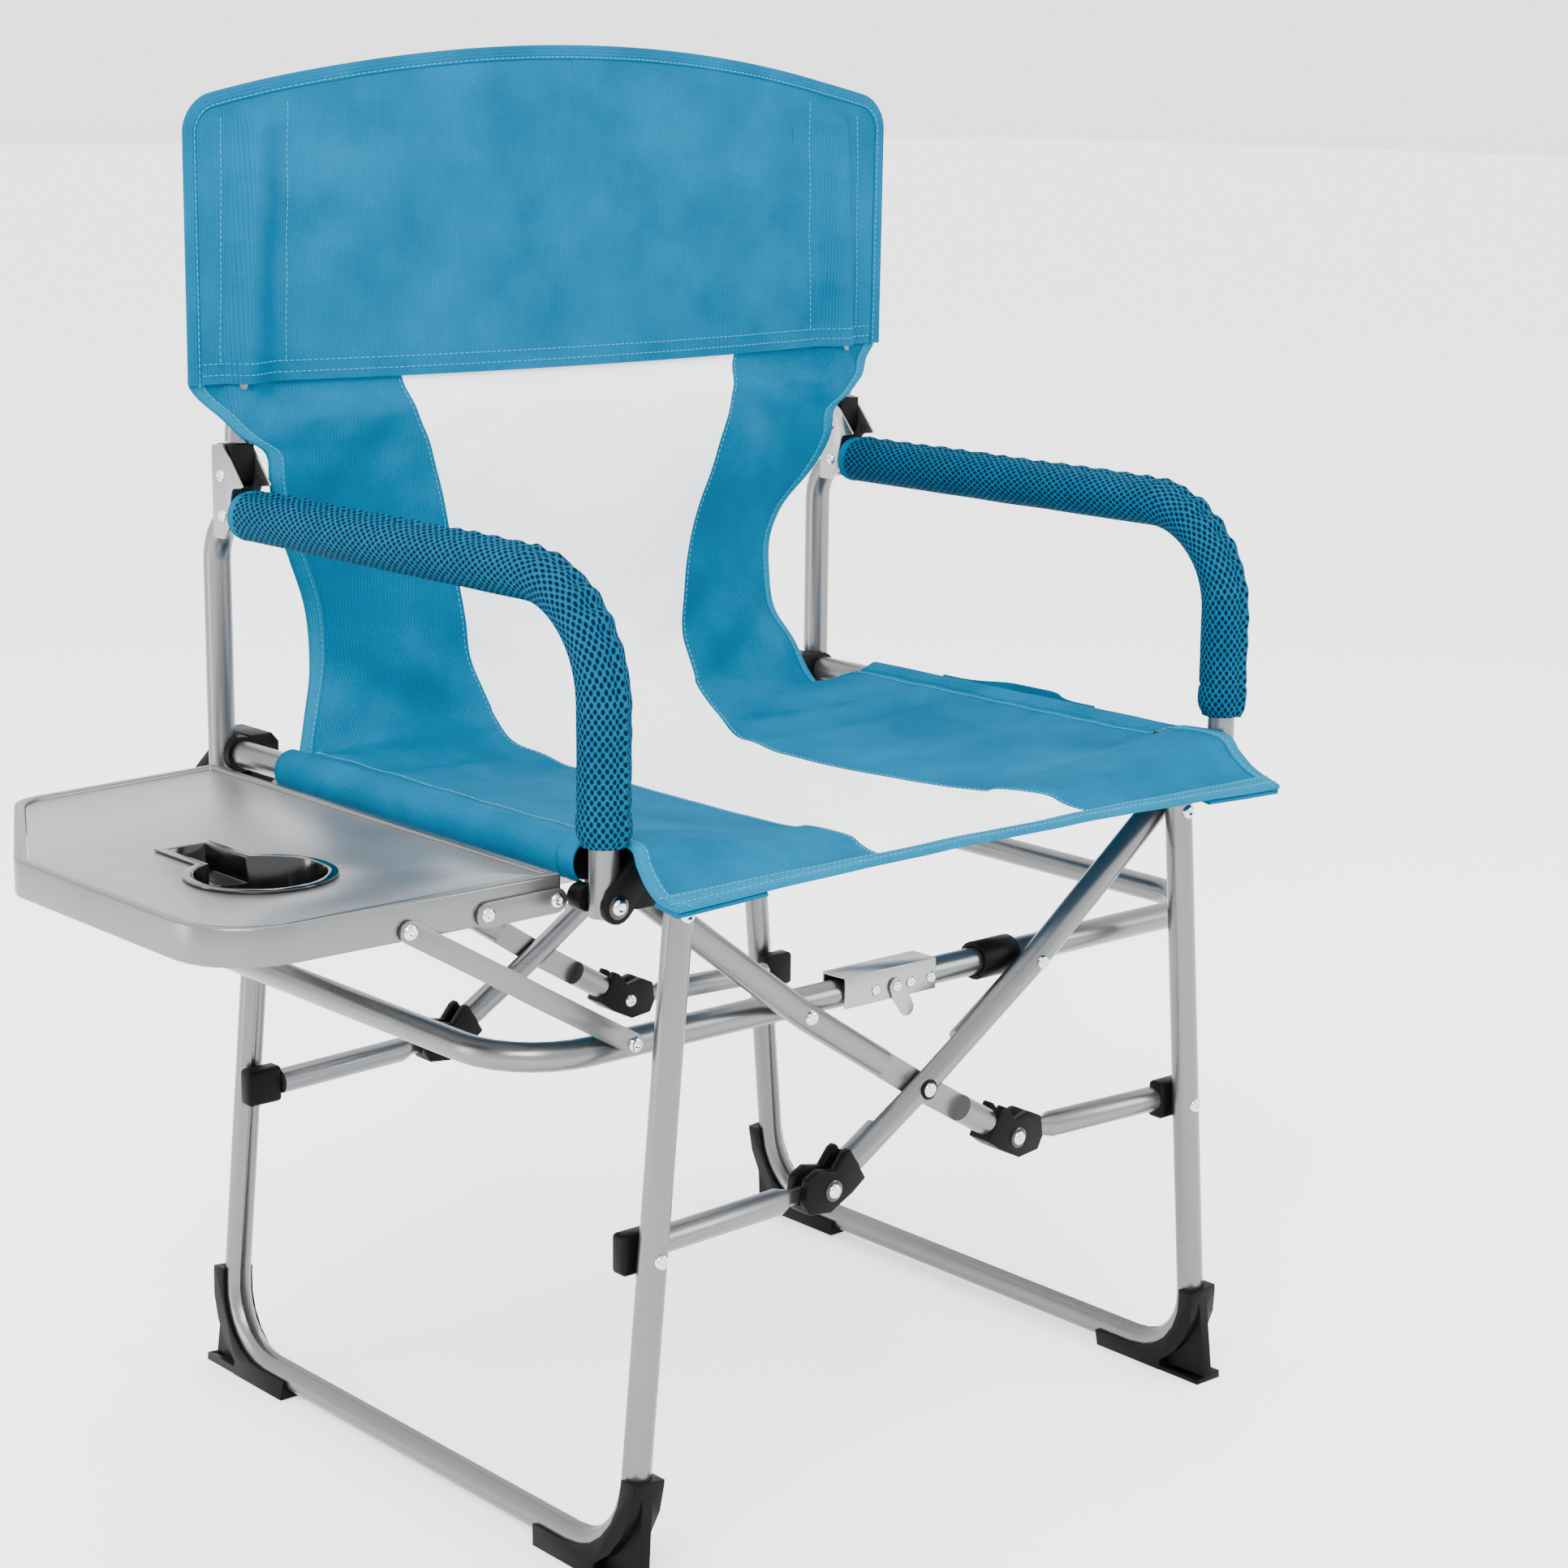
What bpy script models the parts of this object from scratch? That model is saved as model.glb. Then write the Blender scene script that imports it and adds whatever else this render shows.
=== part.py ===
"""Folding director chair with a side table, modelled open, in metres.

Frame: +X to the viewer's right when facing the chair, +Y to the back, +Z up,
origin on the floor under the middle of the seat. "left" is the -X side, where the table is.
"""
import bpy
import bmesh
import math
from mathutils import Matrix, Vector

# ---- driving dimensions -------------------------------------------------------------
TUBE_R = 0.0095            # frame tubes are 19 mm across
STRUT_R = 0.0090
GAP = 0.0003               # kept between neighbouring pieces

PIVOT_X = 0.2250           # post-top pivots, each side of the middle
PIVOT_Z = 0.4306
SPLAY = math.radians(5.1)  # each leg frame leans outward by this
POST_Y = 0.2335            # front and rear posts
LAYER_Y = 0.2135           # crossing tubes and struts, just inside the posts
BRACE_Y = 0.1900           # U braces, inside the crossing tubes
POST_TOP = 0.012           # post above its pivot
GROUND_RAIL_Z = 0.0130
LEG_BEND = 0.055

CROSS_Z = 0.2696           # where the crossing tubes are riveted together
BRACE_PIVOT = (0.1053, 0.3390)   # x, z of the brace pivots on the crossing tubes
LOW_END = (0.0850, 0.2181)       # x, z of the strut pivots on the crossing tubes
STRUT_POST_Z = 0.2130            # height of the strut pivots on the posts

RAIL = (0.2685, 0.4640)          # x, z of the seat rails
RAIL_HALF = 0.1885
ARM_X = 0.2755
ARM_PIVOT = (0.2760, 0.4435)
ARM_TOP_Z = 0.6335
ARM_FRONT_Y = -0.2250
ARM_REAR_Y = 0.2055
ARM_FRONT_BEND = 0.070
ARM_REAR_BEND = 0.035
PAD_R = 0.0170
BACK_PIVOT = (0.1785, 0.6600)    # y, z of the folding back hinge
BACK_TOP = (0.2600, 0.8860)      # x, z of the back posts' upper ends

BRACE_OUT_X = 0.3150
BRACE_BEND = 0.055

TABLE_PIVOT = (-0.2790, 0.4447)
TABLE_IN_X = -0.2920
TABLE_OUT_X = -0.5300
TABLE_FRONT_Y = -0.2050
TABLE_REAR_Y = 0.1895
TABLE_TOP_Z = 0.4605
TABLE_SKIRT = 0.0235
CUP = (-0.4315, -0.0925)         # x, y of the cup holder
STAY_TABLE = (-0.4036, 0.4430)   # x, z of the stay's rivet on the table
STAY_BRACE = (-0.2340, 0.3415)   # x, z of the stay's rivet on the left brace

MID_GAP = 0.0004           # between the halves of the cover
CLOTH = 0.0040

SIDES = {"left": -1, "right": 1}
ENDS = {"front": -1, "rear": 1}

# ---- scene and materials ------------------------------------------------------------
for old in list(bpy.data.objects):
    bpy.data.objects.remove(old, do_unlink=True)


def collection(name):
    group = bpy.data.collections.new(name)
    bpy.context.scene.collection.children.link(group)
    return group


PARTS = collection("director_chair")
CUTTERS = collection("cutters")


def material(name, colour, roughness, metallic):
    mat = bpy.data.materials.new(name)
    mat.use_nodes = True
    shader = mat.node_tree.nodes["Principled BSDF"]
    shader.inputs["Base Color"].default_value = (*colour, 1.0)
    shader.inputs["Roughness"].default_value = roughness
    shader.inputs["Metallic"].default_value = metallic
    return mat


STEEL = material("silver_steel", (0.42, 0.43, 0.43), 0.35, 0.8)
PLATE = material("zinc_plate", (0.50, 0.50, 0.50), 0.40, 0.9)
PLASTIC = material("black_plastic", (0.015, 0.015, 0.016), 0.50, 0.0)
SHEET = material("table_sheet", (0.45, 0.46, 0.46), 0.30, 0.9)
CANVAS = material("blue_canvas", (0.010, 0.280, 0.500), 0.85, 0.0)
MESH = material("blue_mesh", (0.005, 0.130, 0.260), 0.90, 0.0)


# ---- building blocks ----------------------------------------------------------------
def place(obj, mat, group=PARTS):
    for holder in list(obj.users_collection):
        holder.objects.unlink(obj)
    group.objects.link(obj)
    if mat:
        obj.data.materials.append(mat)
    return obj


def from_bmesh(name, bm, mat, group=PARTS):
    mesh = bpy.data.meshes.new(name)
    bm.normal_update()
    bm.to_mesh(mesh)
    bm.free()
    obj = bpy.data.objects.new(name, mesh)
    group.objects.link(obj)
    if mat:
        mesh.materials.append(mat)
    return obj


def rounded_path(corners, radii, step=math.radians(13)):
    """The corner points joined by straight runs, with an arc of the given radius at each."""
    corners = [Vector(c) for c in corners]
    path = [corners[0]]
    for before, corner, after, radius in zip(corners, corners[1:], corners[2:], radii):
        to_before = (before - corner).normalized()
        to_after = (after - corner).normalized()
        half = to_before.angle(to_after) / 2
        reach = radius / math.tan(half)
        start = corner + to_before * reach
        centre = corner + (to_before + to_after).normalized() * radius / math.sin(half)
        turn = math.pi - 2 * half
        normal = to_before.cross(to_after).normalized()
        count = max(2, round(turn / step))
        for i in range(count + 1):
            spin = Matrix.Rotation(-turn * i / count, 3, normal)
            path.append(centre + spin @ (start - centre))
    path.append(corners[-1])
    return path


def solid_from_curve(name, curve, mat, group):
    """The curve's surface as a mesh object, with its loose caps welded on."""
    guide = bpy.data.objects.new(name + "_curve", curve)
    bpy.context.scene.collection.objects.link(guide)
    bpy.context.view_layer.update()
    ready = guide.evaluated_get(bpy.context.evaluated_depsgraph_get())
    mesh = bpy.data.meshes.new_from_object(ready)
    bpy.data.objects.remove(guide)
    bpy.data.curves.remove(curve)
    bm = bmesh.new()
    bm.from_mesh(mesh)
    bmesh.ops.remove_doubles(bm, verts=bm.verts, dist=0.00001)
    bmesh.ops.recalc_face_normals(bm, faces=bm.faces)
    bm.to_mesh(mesh)
    bm.free()
    mesh.name = name
    mesh.materials.clear()
    if mat:
        mesh.materials.append(mat)
    obj = bpy.data.objects.new(name, mesh)
    group.objects.link(obj)
    return obj


def tube(name, path, radius, mat, sides=16, caps=True, group=PARTS):
    """A round tube along the path, as a mesh whose end caps are welded on."""
    curve = bpy.data.curves.new(name, "CURVE")
    curve.dimensions = "3D"
    curve.bevel_depth = radius
    curve.bevel_resolution = sides // 2 - 2
    curve.use_fill_caps = caps
    spline = curve.splines.new("POLY")
    spline.points.add(len(path) - 1)
    for point, co in zip(spline.points, path):
        point.co = (*co, 1.0)
    return smooth(solid_from_curve(name, curve, mat, group))


def smooth(obj, angle=35):
    obj.data.shade_smooth()
    obj.data.set_sharp_from_angle(angle=math.radians(angle))
    return obj


def cylinder(name, centre, axis, radius, length, mat, sides=20, group=PARTS):
    bm = bmesh.new()
    turn = Vector((0, 0, 1)).rotation_difference(Vector(axis)).to_matrix().to_4x4()
    bmesh.ops.create_cone(bm, cap_ends=True, segments=sides, radius1=radius, radius2=radius,
                          depth=length, matrix=Matrix.Translation(centre) @ turn)
    return smooth(from_bmesh(name, bm, mat, group))


def box(name, low, high, mat, group=PARTS):
    low, high = Vector(low), Vector(high)
    size = Matrix.Diagonal((*(high - low), 1.0))
    bm = bmesh.new()
    bmesh.ops.create_cube(bm, size=1.0, matrix=Matrix.Translation((low + high) / 2) @ size)
    return from_bmesh(name, bm, mat, group)


# where a flat outline's own axes go: along X, Y or Z of the chair
PLANES = {
    "xy": Matrix.Identity(4),
    "xz": Matrix(((1, 0, 0, 0), (0, 0, -1, 0), (0, 1, 0, 0), (0, 0, 0, 1))),
    "yz": Matrix(((0, 0, 1, 0), (1, 0, 0, 0), (0, 1, 0, 0), (0, 0, 0, 1))),
}


def plate(name, outline, plane, at, thickness, mat, group=PARTS):
    """A flat outline with thickness, lying in the plane at distance `at` along its normal."""
    curve = bpy.data.curves.new(name, "CURVE")
    curve.dimensions = "2D"
    curve.fill_mode = "BOTH"
    curve.extrude = thickness / 2
    spline = curve.splines.new("POLY")
    spline.use_cyclic_u = True
    spline.points.add(len(outline) - 1)
    for point, (x, y) in zip(spline.points, outline):
        point.co = (x, y, 0.0, 1.0)
    turn = PLANES[plane]
    normal = turn.to_3x3() @ Vector((0, 0, 1))
    offset = Vector([abs(v) for v in normal]) * at
    obj = solid_from_curve(name, curve, mat, group)
    obj.data.transform(Matrix.Translation(offset) @ turn)
    return obj


def arc(centre, radius, start, end, count):
    """Points on a circle, angles in degrees."""
    angles = [math.radians(start + (end - start) * i / count) for i in range(count + 1)]
    return [(centre[0] + radius * math.cos(a), centre[1] + radius * math.sin(a)) for a in angles]


def rounded(outline, radius, count=4):
    """The closed outline with each corner replaced by an arc."""
    flat = [Vector((p[0], p[1], 0)) for p in outline]
    result = []
    for i, corner in enumerate(flat):
        before, after = flat[i - 1], flat[(i + 1) % len(flat)]
        to_before, to_after = (before - corner).normalized(), (after - corner).normalized()
        half = to_before.angle(to_after) / 2
        size = radius[i] if isinstance(radius, (list, tuple)) else radius
        reach = size / math.tan(half)
        if reach < 0.0001:
            result.append((corner.x, corner.y))
            continue
        centre = corner + (to_before + to_after).normalized() * size / math.sin(half)
        start = corner + to_before * reach - centre
        turn = math.pi - 2 * half
        sign = 1 if to_before.cross(to_after).z < 0 else -1
        for k in range(count + 1):
            spot = centre + Matrix.Rotation(sign * turn * k / count, 3, "Z") @ start
            result.append((spot.x, spot.y))
    return result


def cut(obj, cutter, operation="DIFFERENCE"):
    """Boolean with the cutter, which stays in the file as a hidden guide."""
    if cutter.name not in CUTTERS.objects:
        place(cutter, None, CUTTERS)
    cutter.hide_render = True
    cutter.display_type = "WIRE"
    step = obj.modifiers.new(operation.lower(), "BOOLEAN")
    step.operation = operation
    step.solver = "EXACT"
    step.object = cutter
    return obj


def bevel(obj, width, segments=2, angle=30):
    step = obj.modifiers.new("rounding", "BEVEL")
    step.width = width
    step.segments = segments
    step.limit_method = "ANGLE"
    step.angle_limit = math.radians(angle)
    return obj


# ---- leg frames ---------------------------------------------------------------------
def post_point(side, end, z):
    """Centre of a post at height z; both posts of a side lie in one leaning plane."""
    return Vector((side * (PIVOT_X + math.tan(SPLAY) * (PIVOT_Z - z)), end * POST_Y, z))


def press_groove(obj, centre_y, centre_z, side):
    """The crimp on the inside of a bend: vertices nearest the bend's centre are pressed in."""
    depth = 0.0055
    for vert in obj.data.vertices:
        spot = vert.co
        line_x = side * (PIVOT_X + math.tan(SPLAY) * (PIVOT_Z - spot.z))
        inward = Vector((0, centre_y - spot.y, centre_z - spot.z))
        beyond_y = (spot.y - centre_y) * (1 if centre_y > 0 else -1)
        beyond_z = centre_z - spot.z
        if beyond_y < -0.02 or beyond_z < -0.02:
            continue
        radius = inward.length
        if radius < LEG_BEND - 0.6 * TUBE_R and abs(spot.x - line_x) < 0.3 * TUBE_R:
            fade = min(1.0, 1.0 + min(beyond_y, beyond_z) / 0.02)
            spot -= inward.normalized() * depth * max(fade, 0.0)


def leg_frame(side_name, side):
    top = POST_TOP + PIVOT_Z
    corners = [post_point(side, -1, top), post_point(side, -1, GROUND_RAIL_Z),
               post_point(side, 1, GROUND_RAIL_Z), post_point(side, 1, top)]
    obj = tube("leg_frame_" + side_name, rounded_path(corners, [LEG_BEND] * 2), TUBE_R, STEEL)
    for end in (-1, 1):
        press_groove(obj, end * (POST_Y - LEG_BEND), GROUND_RAIL_Z + LEG_BEND, side)
    return smooth(obj)


SHOE_WIDTH = 0.0250
SHOE_WALL = 0.0035
SHOE_BACK = 0.1480         # |y| where the shoe ends along the ground rail
SHOE_TOP = 0.0720
BELOW = -0.0040            # shoes are drawn past the floor, then cut flat on it


def shoe(end_name, end, side_name, side):
    """Corner shoe: a saddle round the outside of the bend, a fin to the corner, and a sole."""
    outer = TUBE_R + SHOE_WALL
    bend = (POST_Y - LEG_BEND, GROUND_RAIL_Z + LEG_BEND)
    corner = POST_Y + outer + 0.0030
    saddle = [(SHOE_BACK, GROUND_RAIL_Z), *arc(bend, LEG_BEND, -90, 0, 6), (POST_Y, SHOE_TOP),
              (POST_Y + outer, SHOE_TOP), *arc(bend, LEG_BEND + outer, 0, -60, 4),
              (POST_Y - 0.0210, BELOW), (SHOE_BACK + 0.0020, BELOW)]
    fin = [(0.1900, BELOW), (corner, BELOW), (POST_Y + outer - 0.0010, SHOE_TOP - 0.0060),
           (POST_Y + 0.0005, SHOE_TOP - 0.0060), (0.2190, 0.0290), (0.1900, 0.0150)]
    sole = [(SHOE_BACK + 0.0100, BELOW), (corner - 0.0002, BELOW), (corner - 0.0002, 0.0045),
            (SHOE_BACK + 0.0100, 0.0045)]
    lean = side * (PIVOT_X + math.tan(SPLAY) * PIVOT_Z)
    tilt = Matrix.Translation((lean, 0, 0)) @ Matrix.Rotation(-side * SPLAY, 4, "Y")
    name = "shoe_%s_%s" % (end_name, side_name)
    body = plate(name, [(end * y, z) for y, z in saddle], "yz", 0, SHOE_WIDTH, PLASTIC)
    ribs = plate(name + "_fin", [(end * y, z) for y, z in fin], "yz", 0, 0.0080, None, CUTTERS)
    base = plate(name + "_sole", [(end * y, z) for y, z in sole], "yz", 0, SHOE_WIDTH - 0.0010,
                 None, CUTTERS)
    for piece in (body, ribs, base):
        piece.data.transform(tilt)
    corners = [post_point(side, -1, PIVOT_Z), post_point(side, -1, GROUND_RAIL_Z),
               post_point(side, 1, GROUND_RAIL_Z), post_point(side, 1, PIVOT_Z)]
    room = tube(name + "_room", rounded_path(corners, [LEG_BEND] * 2), TUBE_R + 0.0006, None,
                group=CUTTERS)
    floor = box(name + "_floor", (-0.6, -0.6, -0.05), (0.6, 0.6, 0.0), None, CUTTERS)
    cut(body, ribs, "UNION")
    cut(body, base, "UNION")
    cut(body, room)
    return cut(body, floor)


# ---- crossing tubes, struts and their plastic ends ----------------------------------
TUBE_SHORT = 0.0260        # a crossing tube stops this far above its strut pivot
TUBE_RISE = 0.0300         # and runs on this far above the post-top pivot
TONGUE = 0.0345            # flattened end of a strut
TONGUE_HALF = 0.0030
NOTCH = 0.0440             # half length of the dimple where two tubes cross
LAYER_STEP = 0.0010        # dimpled tubes stay this far from the layer's middle
FORK_SWING = (67.5, 180.0)       # strut directions while folding, on the left side


def crossing_line(slope):
    """x, z points down one crossing tube. slope -1 falls from upper left to lower right."""
    pivot = Vector((slope * PIVOT_X, PIVOT_Z))
    brace = Vector((slope * BRACE_PIVOT[0], BRACE_PIVOT[1]))
    middle = Vector((0, CROSS_Z))
    low = Vector((-slope * LOW_END[0], LOW_END[1]))
    top = pivot + (pivot - brace).normalized() * TUBE_RISE
    tip = low + (middle - low).normalized() * TUBE_SHORT
    return [top, brace, middle, tip]


def crossing_path(slope, end):
    corners = [(p.x, end * LAYER_Y, p.y) for p in crossing_line(slope)]
    return rounded_path(corners, [0.35, 0.35], math.radians(2))


def crossing_tube(name, slope, end, outer_half):
    """Both tubes of a crossed pair lie in one plane, so each is dimpled to half its depth."""
    obj = tube(name, crossing_path(slope, end), TUBE_R, STEEL)
    keep = 1 if outer_half else -1
    near = end * (LAYER_Y + keep * LAYER_STEP)
    far = end * (LAYER_Y - keep * 0.02)
    line = crossing_line(slope)
    along = (line[3] - line[1]).normalized()
    turn = Vector((1, 0, 0)).rotation_difference(Vector((along.x, 0, along.y)))
    size = Matrix.Diagonal((2 * NOTCH, abs(far - near), 0.04, 1.0))
    centre = Matrix.Translation((0, (near + far) / 2, CROSS_Z))
    bm = bmesh.new()
    bmesh.ops.create_cube(bm, size=1.0, matrix=centre @ turn.to_matrix().to_4x4() @ size)
    return cut(obj, from_bmesh(name + "_dimple", bm, None, CUTTERS))


def clevis(name, side, end):
    """Plastic fork on a crossing tube's lower end, open where the strut's tongue swings."""
    low = Vector((-LOW_END[0], LOW_END[1]))
    along = (Vector((0, CROSS_Z)) - low).normalized()
    across = Vector((-along.y, along.x))
    shape = [low + along * (TUBE_SHORT - GAP) + across * 0.0140,
             low + along * (TUBE_SHORT - 0.0050) + across * 0.0145,
             low + Vector((0.0020, 0.0130)), low + Vector((-0.0120, 0.0160)),
             low + Vector((-0.0225, 0.0110)), low + Vector((-0.0245, -0.0040)),
             low + Vector((-0.0200, -0.0130)), low + Vector((-0.0020, -0.0150)),
             low + along * 0.0120 - across * 0.0135,
             low + along * (TUBE_SHORT - GAP) - across * 0.0125]
    half = TUBE_R + 0.0006
    start, stop = FORK_SWING
    reach = 0.0068
    spread = [arc(low, 0.07, start, stop, 4)[i] for i in range(5)]
    side_in = Vector((math.sin(math.radians(start)), -math.cos(math.radians(start)))) * reach
    side_out = Vector((0, -reach))
    room = [*arc(low, reach, stop + 90, start + 270, 5), tuple(Vector(spread[0]) + side_in),
            *spread[1:4], tuple(Vector(spread[4]) + side_out)]
    body = plate(name, [(-side * p.x, p.y) for p in shape], "xz", end * LAYER_Y, 2 * half, PLASTIC)
    slot = plate(name + "_slot", [(-side * x, z) for x, z in room], "xz", end * LAYER_Y,
                 2 * TONGUE_HALF + 0.0008, None, CUTTERS)
    return cut(body, slot)


def post_pivot(side):
    return Vector((side * (PIVOT_X + math.tan(SPLAY) * (PIVOT_Z - STRUT_POST_Z)), STRUT_POST_Z))


def strut(name, side, end):
    """Short tube from the post to the crossing tube's low end, whose inner end is flattened."""
    outer = post_pivot(side)
    inner = Vector((side * LOW_END[0], LOW_END[1]))
    along = (outer - inner).normalized()
    marks = [inner - along * 0.0055, inner + along * 0.0045, inner + along * (TONGUE - 0.004),
             inner + along * (TONGUE + 0.006), outer - along * 0.0143]
    path = [Vector((p.x, end * LAYER_Y, p.y)) for p in marks]
    obj = tube(name, path, STRUT_R, STEEL)
    for vert in obj.data.vertices:
        reach = (Vector((vert.co.x, vert.co.z)) - inner).dot(along)
        if reach < TONGUE:
            depth = vert.co.y - end * LAYER_Y
            vert.co.y = end * LAYER_Y + depth * TONGUE_HALF / STRUT_R
            offset = Vector((vert.co.x, vert.co.z)) - inner - along * reach
            narrow = 0.45 if reach < 0 else 0.66
            spot = inner + along * reach + offset * narrow
            vert.co.x, vert.co.z = spot.x, spot.y
    return smooth(obj, 50)


BRACKET_Y = (0.2089, 0.2230)     # |y|, clear of the stay that swings past inside


def post_bracket(name, side, end):
    spot = post_pivot(side)
    near, far = sorted(end * y for y in BRACKET_Y)
    low = (spot.x - 0.0140, near, spot.y - 0.0135)
    high = (spot.x + 0.0140, far, spot.y + 0.0135)
    return bevel(box(name, low, high, PLASTIC), 0.003, 2)


# ---- braces -------------------------------------------------------------------------
KNUCKLE_CLEAR = {-1: 0.0315, 1: 0.0035}   # how far each brace stops from the knuckle pivot


def brace(side_name, side):
    z = BRACE_PIVOT[1]
    near = side * KNUCKLE_CLEAR[side]
    far = side * BRACE_OUT_X
    corners = [(near, -BRACE_Y, z), (far, -BRACE_Y, z), (far, BRACE_Y, z), (near, BRACE_Y, z)]
    return tube("brace_" + side_name, rounded_path(corners, [BRACE_BEND] * 2), TUBE_R, STEEL)


SLEEVE_X = (-0.0575, 0.0245)


def sleeve(end_name, end):
    """Folded channel over the brace joint, open underneath; it turns with the left brace."""
    z = BRACE_PIVOT[1]
    inner = TUBE_R + GAP
    wall = 0.0015
    outer = inner + wall
    top = z + 0.0115
    bottom = z - 0.0085
    y = end * BRACE_Y
    section = [(y - outer, bottom), (y - outer, top + wall), (y + outer, top + wall),
               (y + outer, bottom), (y + inner, bottom), (y + inner, top), (y - inner, top),
               (y - inner, bottom)]
    length = SLEEVE_X[1] - SLEEVE_X[0]
    name = "knuckle_sleeve_" + end_name
    return plate(name, section, "yz", (SLEEVE_X[0] + SLEEVE_X[1]) / 2, length, PLATE)


LATCH_PIVOT = (-0.0130, 0.3390)


def latch():
    x, z = LATCH_PIVOT
    outline = [*arc((x, z), 0.0060, 40, 200, 5), (x - 0.002, z - 0.010), (x + 0.003, z - 0.0165),
               *arc((x + 0.0100, z - 0.0165), 0.0060, 215, 400, 5)]
    y = -(BRACE_Y + TUBE_R + GAP + 0.0015 + 0.0012)
    return plate("latch_lever", outline, "xz", y, 0.0018, PLATE)


def brace_clip(name, side, end):
    """Plastic spacer round a brace beside its pivot."""
    z = BRACE_PIVOT[1]
    centre = (side * 0.0870, end * BRACE_Y, z)
    body = cylinder(name, centre, (1, 0, 0), 0.0133, 0.034, PLASTIC)
    bore = cylinder(name + "_bore", centre, (1, 0, 0), TUBE_R + 0.0006, 0.05, None, group=CUTTERS)
    return cut(body, bore)


# ---- seat rails, corner fittings, arms ----------------------------------------------
def seat_rail(side_name, side):
    path = [(side * RAIL[0], y, RAIL[1]) for y in (-RAIL_HALF, RAIL_HALF)]
    return tube("seat_rail_" + side_name, path, TUBE_R, STEEL)


def corner_fitting(end_name, end, side_name, side):
    """Plastic corner: caps the rail, takes the crossing tube's top end and, in a lobe beyond
    the arm's foot, carries the arm's pivot."""
    arm_y = abs({-1: ARM_FRONT_Y, 1: ARM_REAR_Y}[end])
    name = "corner_fitting_%s_%s" % (end_name, side_name)
    start = RAIL_HALF + GAP
    lobe_in = arm_y + TUBE_R + GAP
    lobe_out = max(lobe_in + 0.0050, LAYER_Y + TUBE_R + 0.0050)
    web = [(0.2628, 0.4400), (0.2480, 0.4400), (0.2400, 0.4460), (0.2400, 0.4700),
           (0.2455, 0.4765), (0.2628, 0.4765)]
    body = plate(name, [(side * x, z) for x, z in web], "xz", end * (start + lobe_out) / 2,
                 lobe_out - start, PLASTIC)
    lobe = flat_bar(name + "_lobe", (side * ARM_PIVOT[0], ARM_PIVOT[1]), (side * 0.2540, 0.4655),
                    0.0108, end * (lobe_in + lobe_out) / 2, lobe_out - lobe_in, None, CUTTERS)
    cap_end = min(LAYER_Y - TUBE_R - 0.0045, arm_y - TUBE_R - 0.0008)
    cap = cylinder(name + "_cap", (side * RAIL[0], end * (start + cap_end) / 2, RAIL[1]),
                   (0, 1, 0), 0.0125, cap_end - start, None, group=CUTTERS)
    bore = tube(name + "_bore", crossing_path(side, end), TUBE_R + GAP, None, group=CUTTERS)
    cut(body, cap, "UNION")
    cut(body, lobe, "UNION")
    return cut(body, bore)


def arm_corners(side, front_low, rear_low):
    x = side * ARM_X
    return [(x, ARM_FRONT_Y, front_low), (x, ARM_FRONT_Y, ARM_TOP_Z),
            (x, ARM_REAR_Y, ARM_TOP_Z), (x, ARM_REAR_Y, rear_low)]


def arm_tube(side_name, side):
    low = ARM_PIVOT[1] - 0.0085
    path = rounded_path(arm_corners(side, low, low), [ARM_FRONT_BEND, ARM_REAR_BEND])
    return tube("arm_tube_" + side_name, path, TUBE_R, STEEL)


PAD_REAR_Y = 0.1650
PAD_FRONT_Z = {"left": 0.4780, "right": 0.4900}


def arm_pad(side_name, side):
    """Foam sleeve: a wall of even thickness round the arm tube."""
    x = side * ARM_X
    corners = [(x, ARM_FRONT_Y, PAD_FRONT_Z[side_name]), (x, ARM_FRONT_Y, ARM_TOP_Z),
               (x, PAD_REAR_Y, ARM_TOP_Z)]
    path = rounded_path(corners, [ARM_FRONT_BEND])
    skin = tube("arm_pad_" + side_name, path, PAD_R, MESH, sides=12, caps=False)
    wall = skin.modifiers.new("wall", "SOLIDIFY")
    wall.thickness = PAD_R - 0.0106
    wall.offset = -1.0
    return skin


# ---- folding back -------------------------------------------------------------------
def hinge_bracket(side_name, side):
    """Folded sheet channel on the arm's rear bend: two cheeks and a rear web."""
    cheek = [(0.1900, 0.6170), (0.1900, 0.6800), (0.1765, 0.6815), (0.1520, 0.6540),
             (0.1650, 0.6525), (0.1680, 0.6400), (0.1675, 0.6280), (0.1770, 0.6170)]
    inside = TUBE_R + 0.0006
    wall = 0.0015
    name = "hinge_bracket_" + side_name
    outline = rounded(cheek, [0.002, 0.003, 0.003, 0.001, 0.004, 0.004, 0.002, 0.002], 2)
    body = plate(name, outline, "yz", side * ARM_X, 2 * (inside + wall), PLATE)
    room = box(name + "_room", (side * ARM_X - inside, 0.10, 0.60),
               (side * ARM_X + inside, 0.1900 - wall, 0.70), None, CUTTERS)
    cut(body, room)
    bend = arm_corners(side, 0.5, 0.5)
    arm = tube(name + "_arm", rounded_path(bend, [ARM_FRONT_BEND, ARM_REAR_BEND]),
               TUBE_R + 0.0004, None, group=CUTTERS)
    return cut(body, arm)


SOCKET_HALF = 0.0092
SOCKET_TOP = 0.0210        # above the back pivot


def back_socket(side_name, side):
    y, z = BACK_PIVOT
    outline = [*arc((y, z), 0.0085, 180, 360, 8), (y + 0.0088, z + SOCKET_TOP),
               (y - 0.0100, z + SOCKET_TOP)]
    name = "back_socket_" + side_name
    return bevel(plate(name, outline, "yz", side * ARM_X, 2 * SOCKET_HALF, PLASTIC), 0.001, 1)


def back_post_path(side):
    y, z = BACK_PIVOT
    low = z + SOCKET_TOP + 0.0010
    return [(side * 0.2735, y, low), (side * BACK_TOP[0], y, BACK_TOP[1])]


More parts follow.
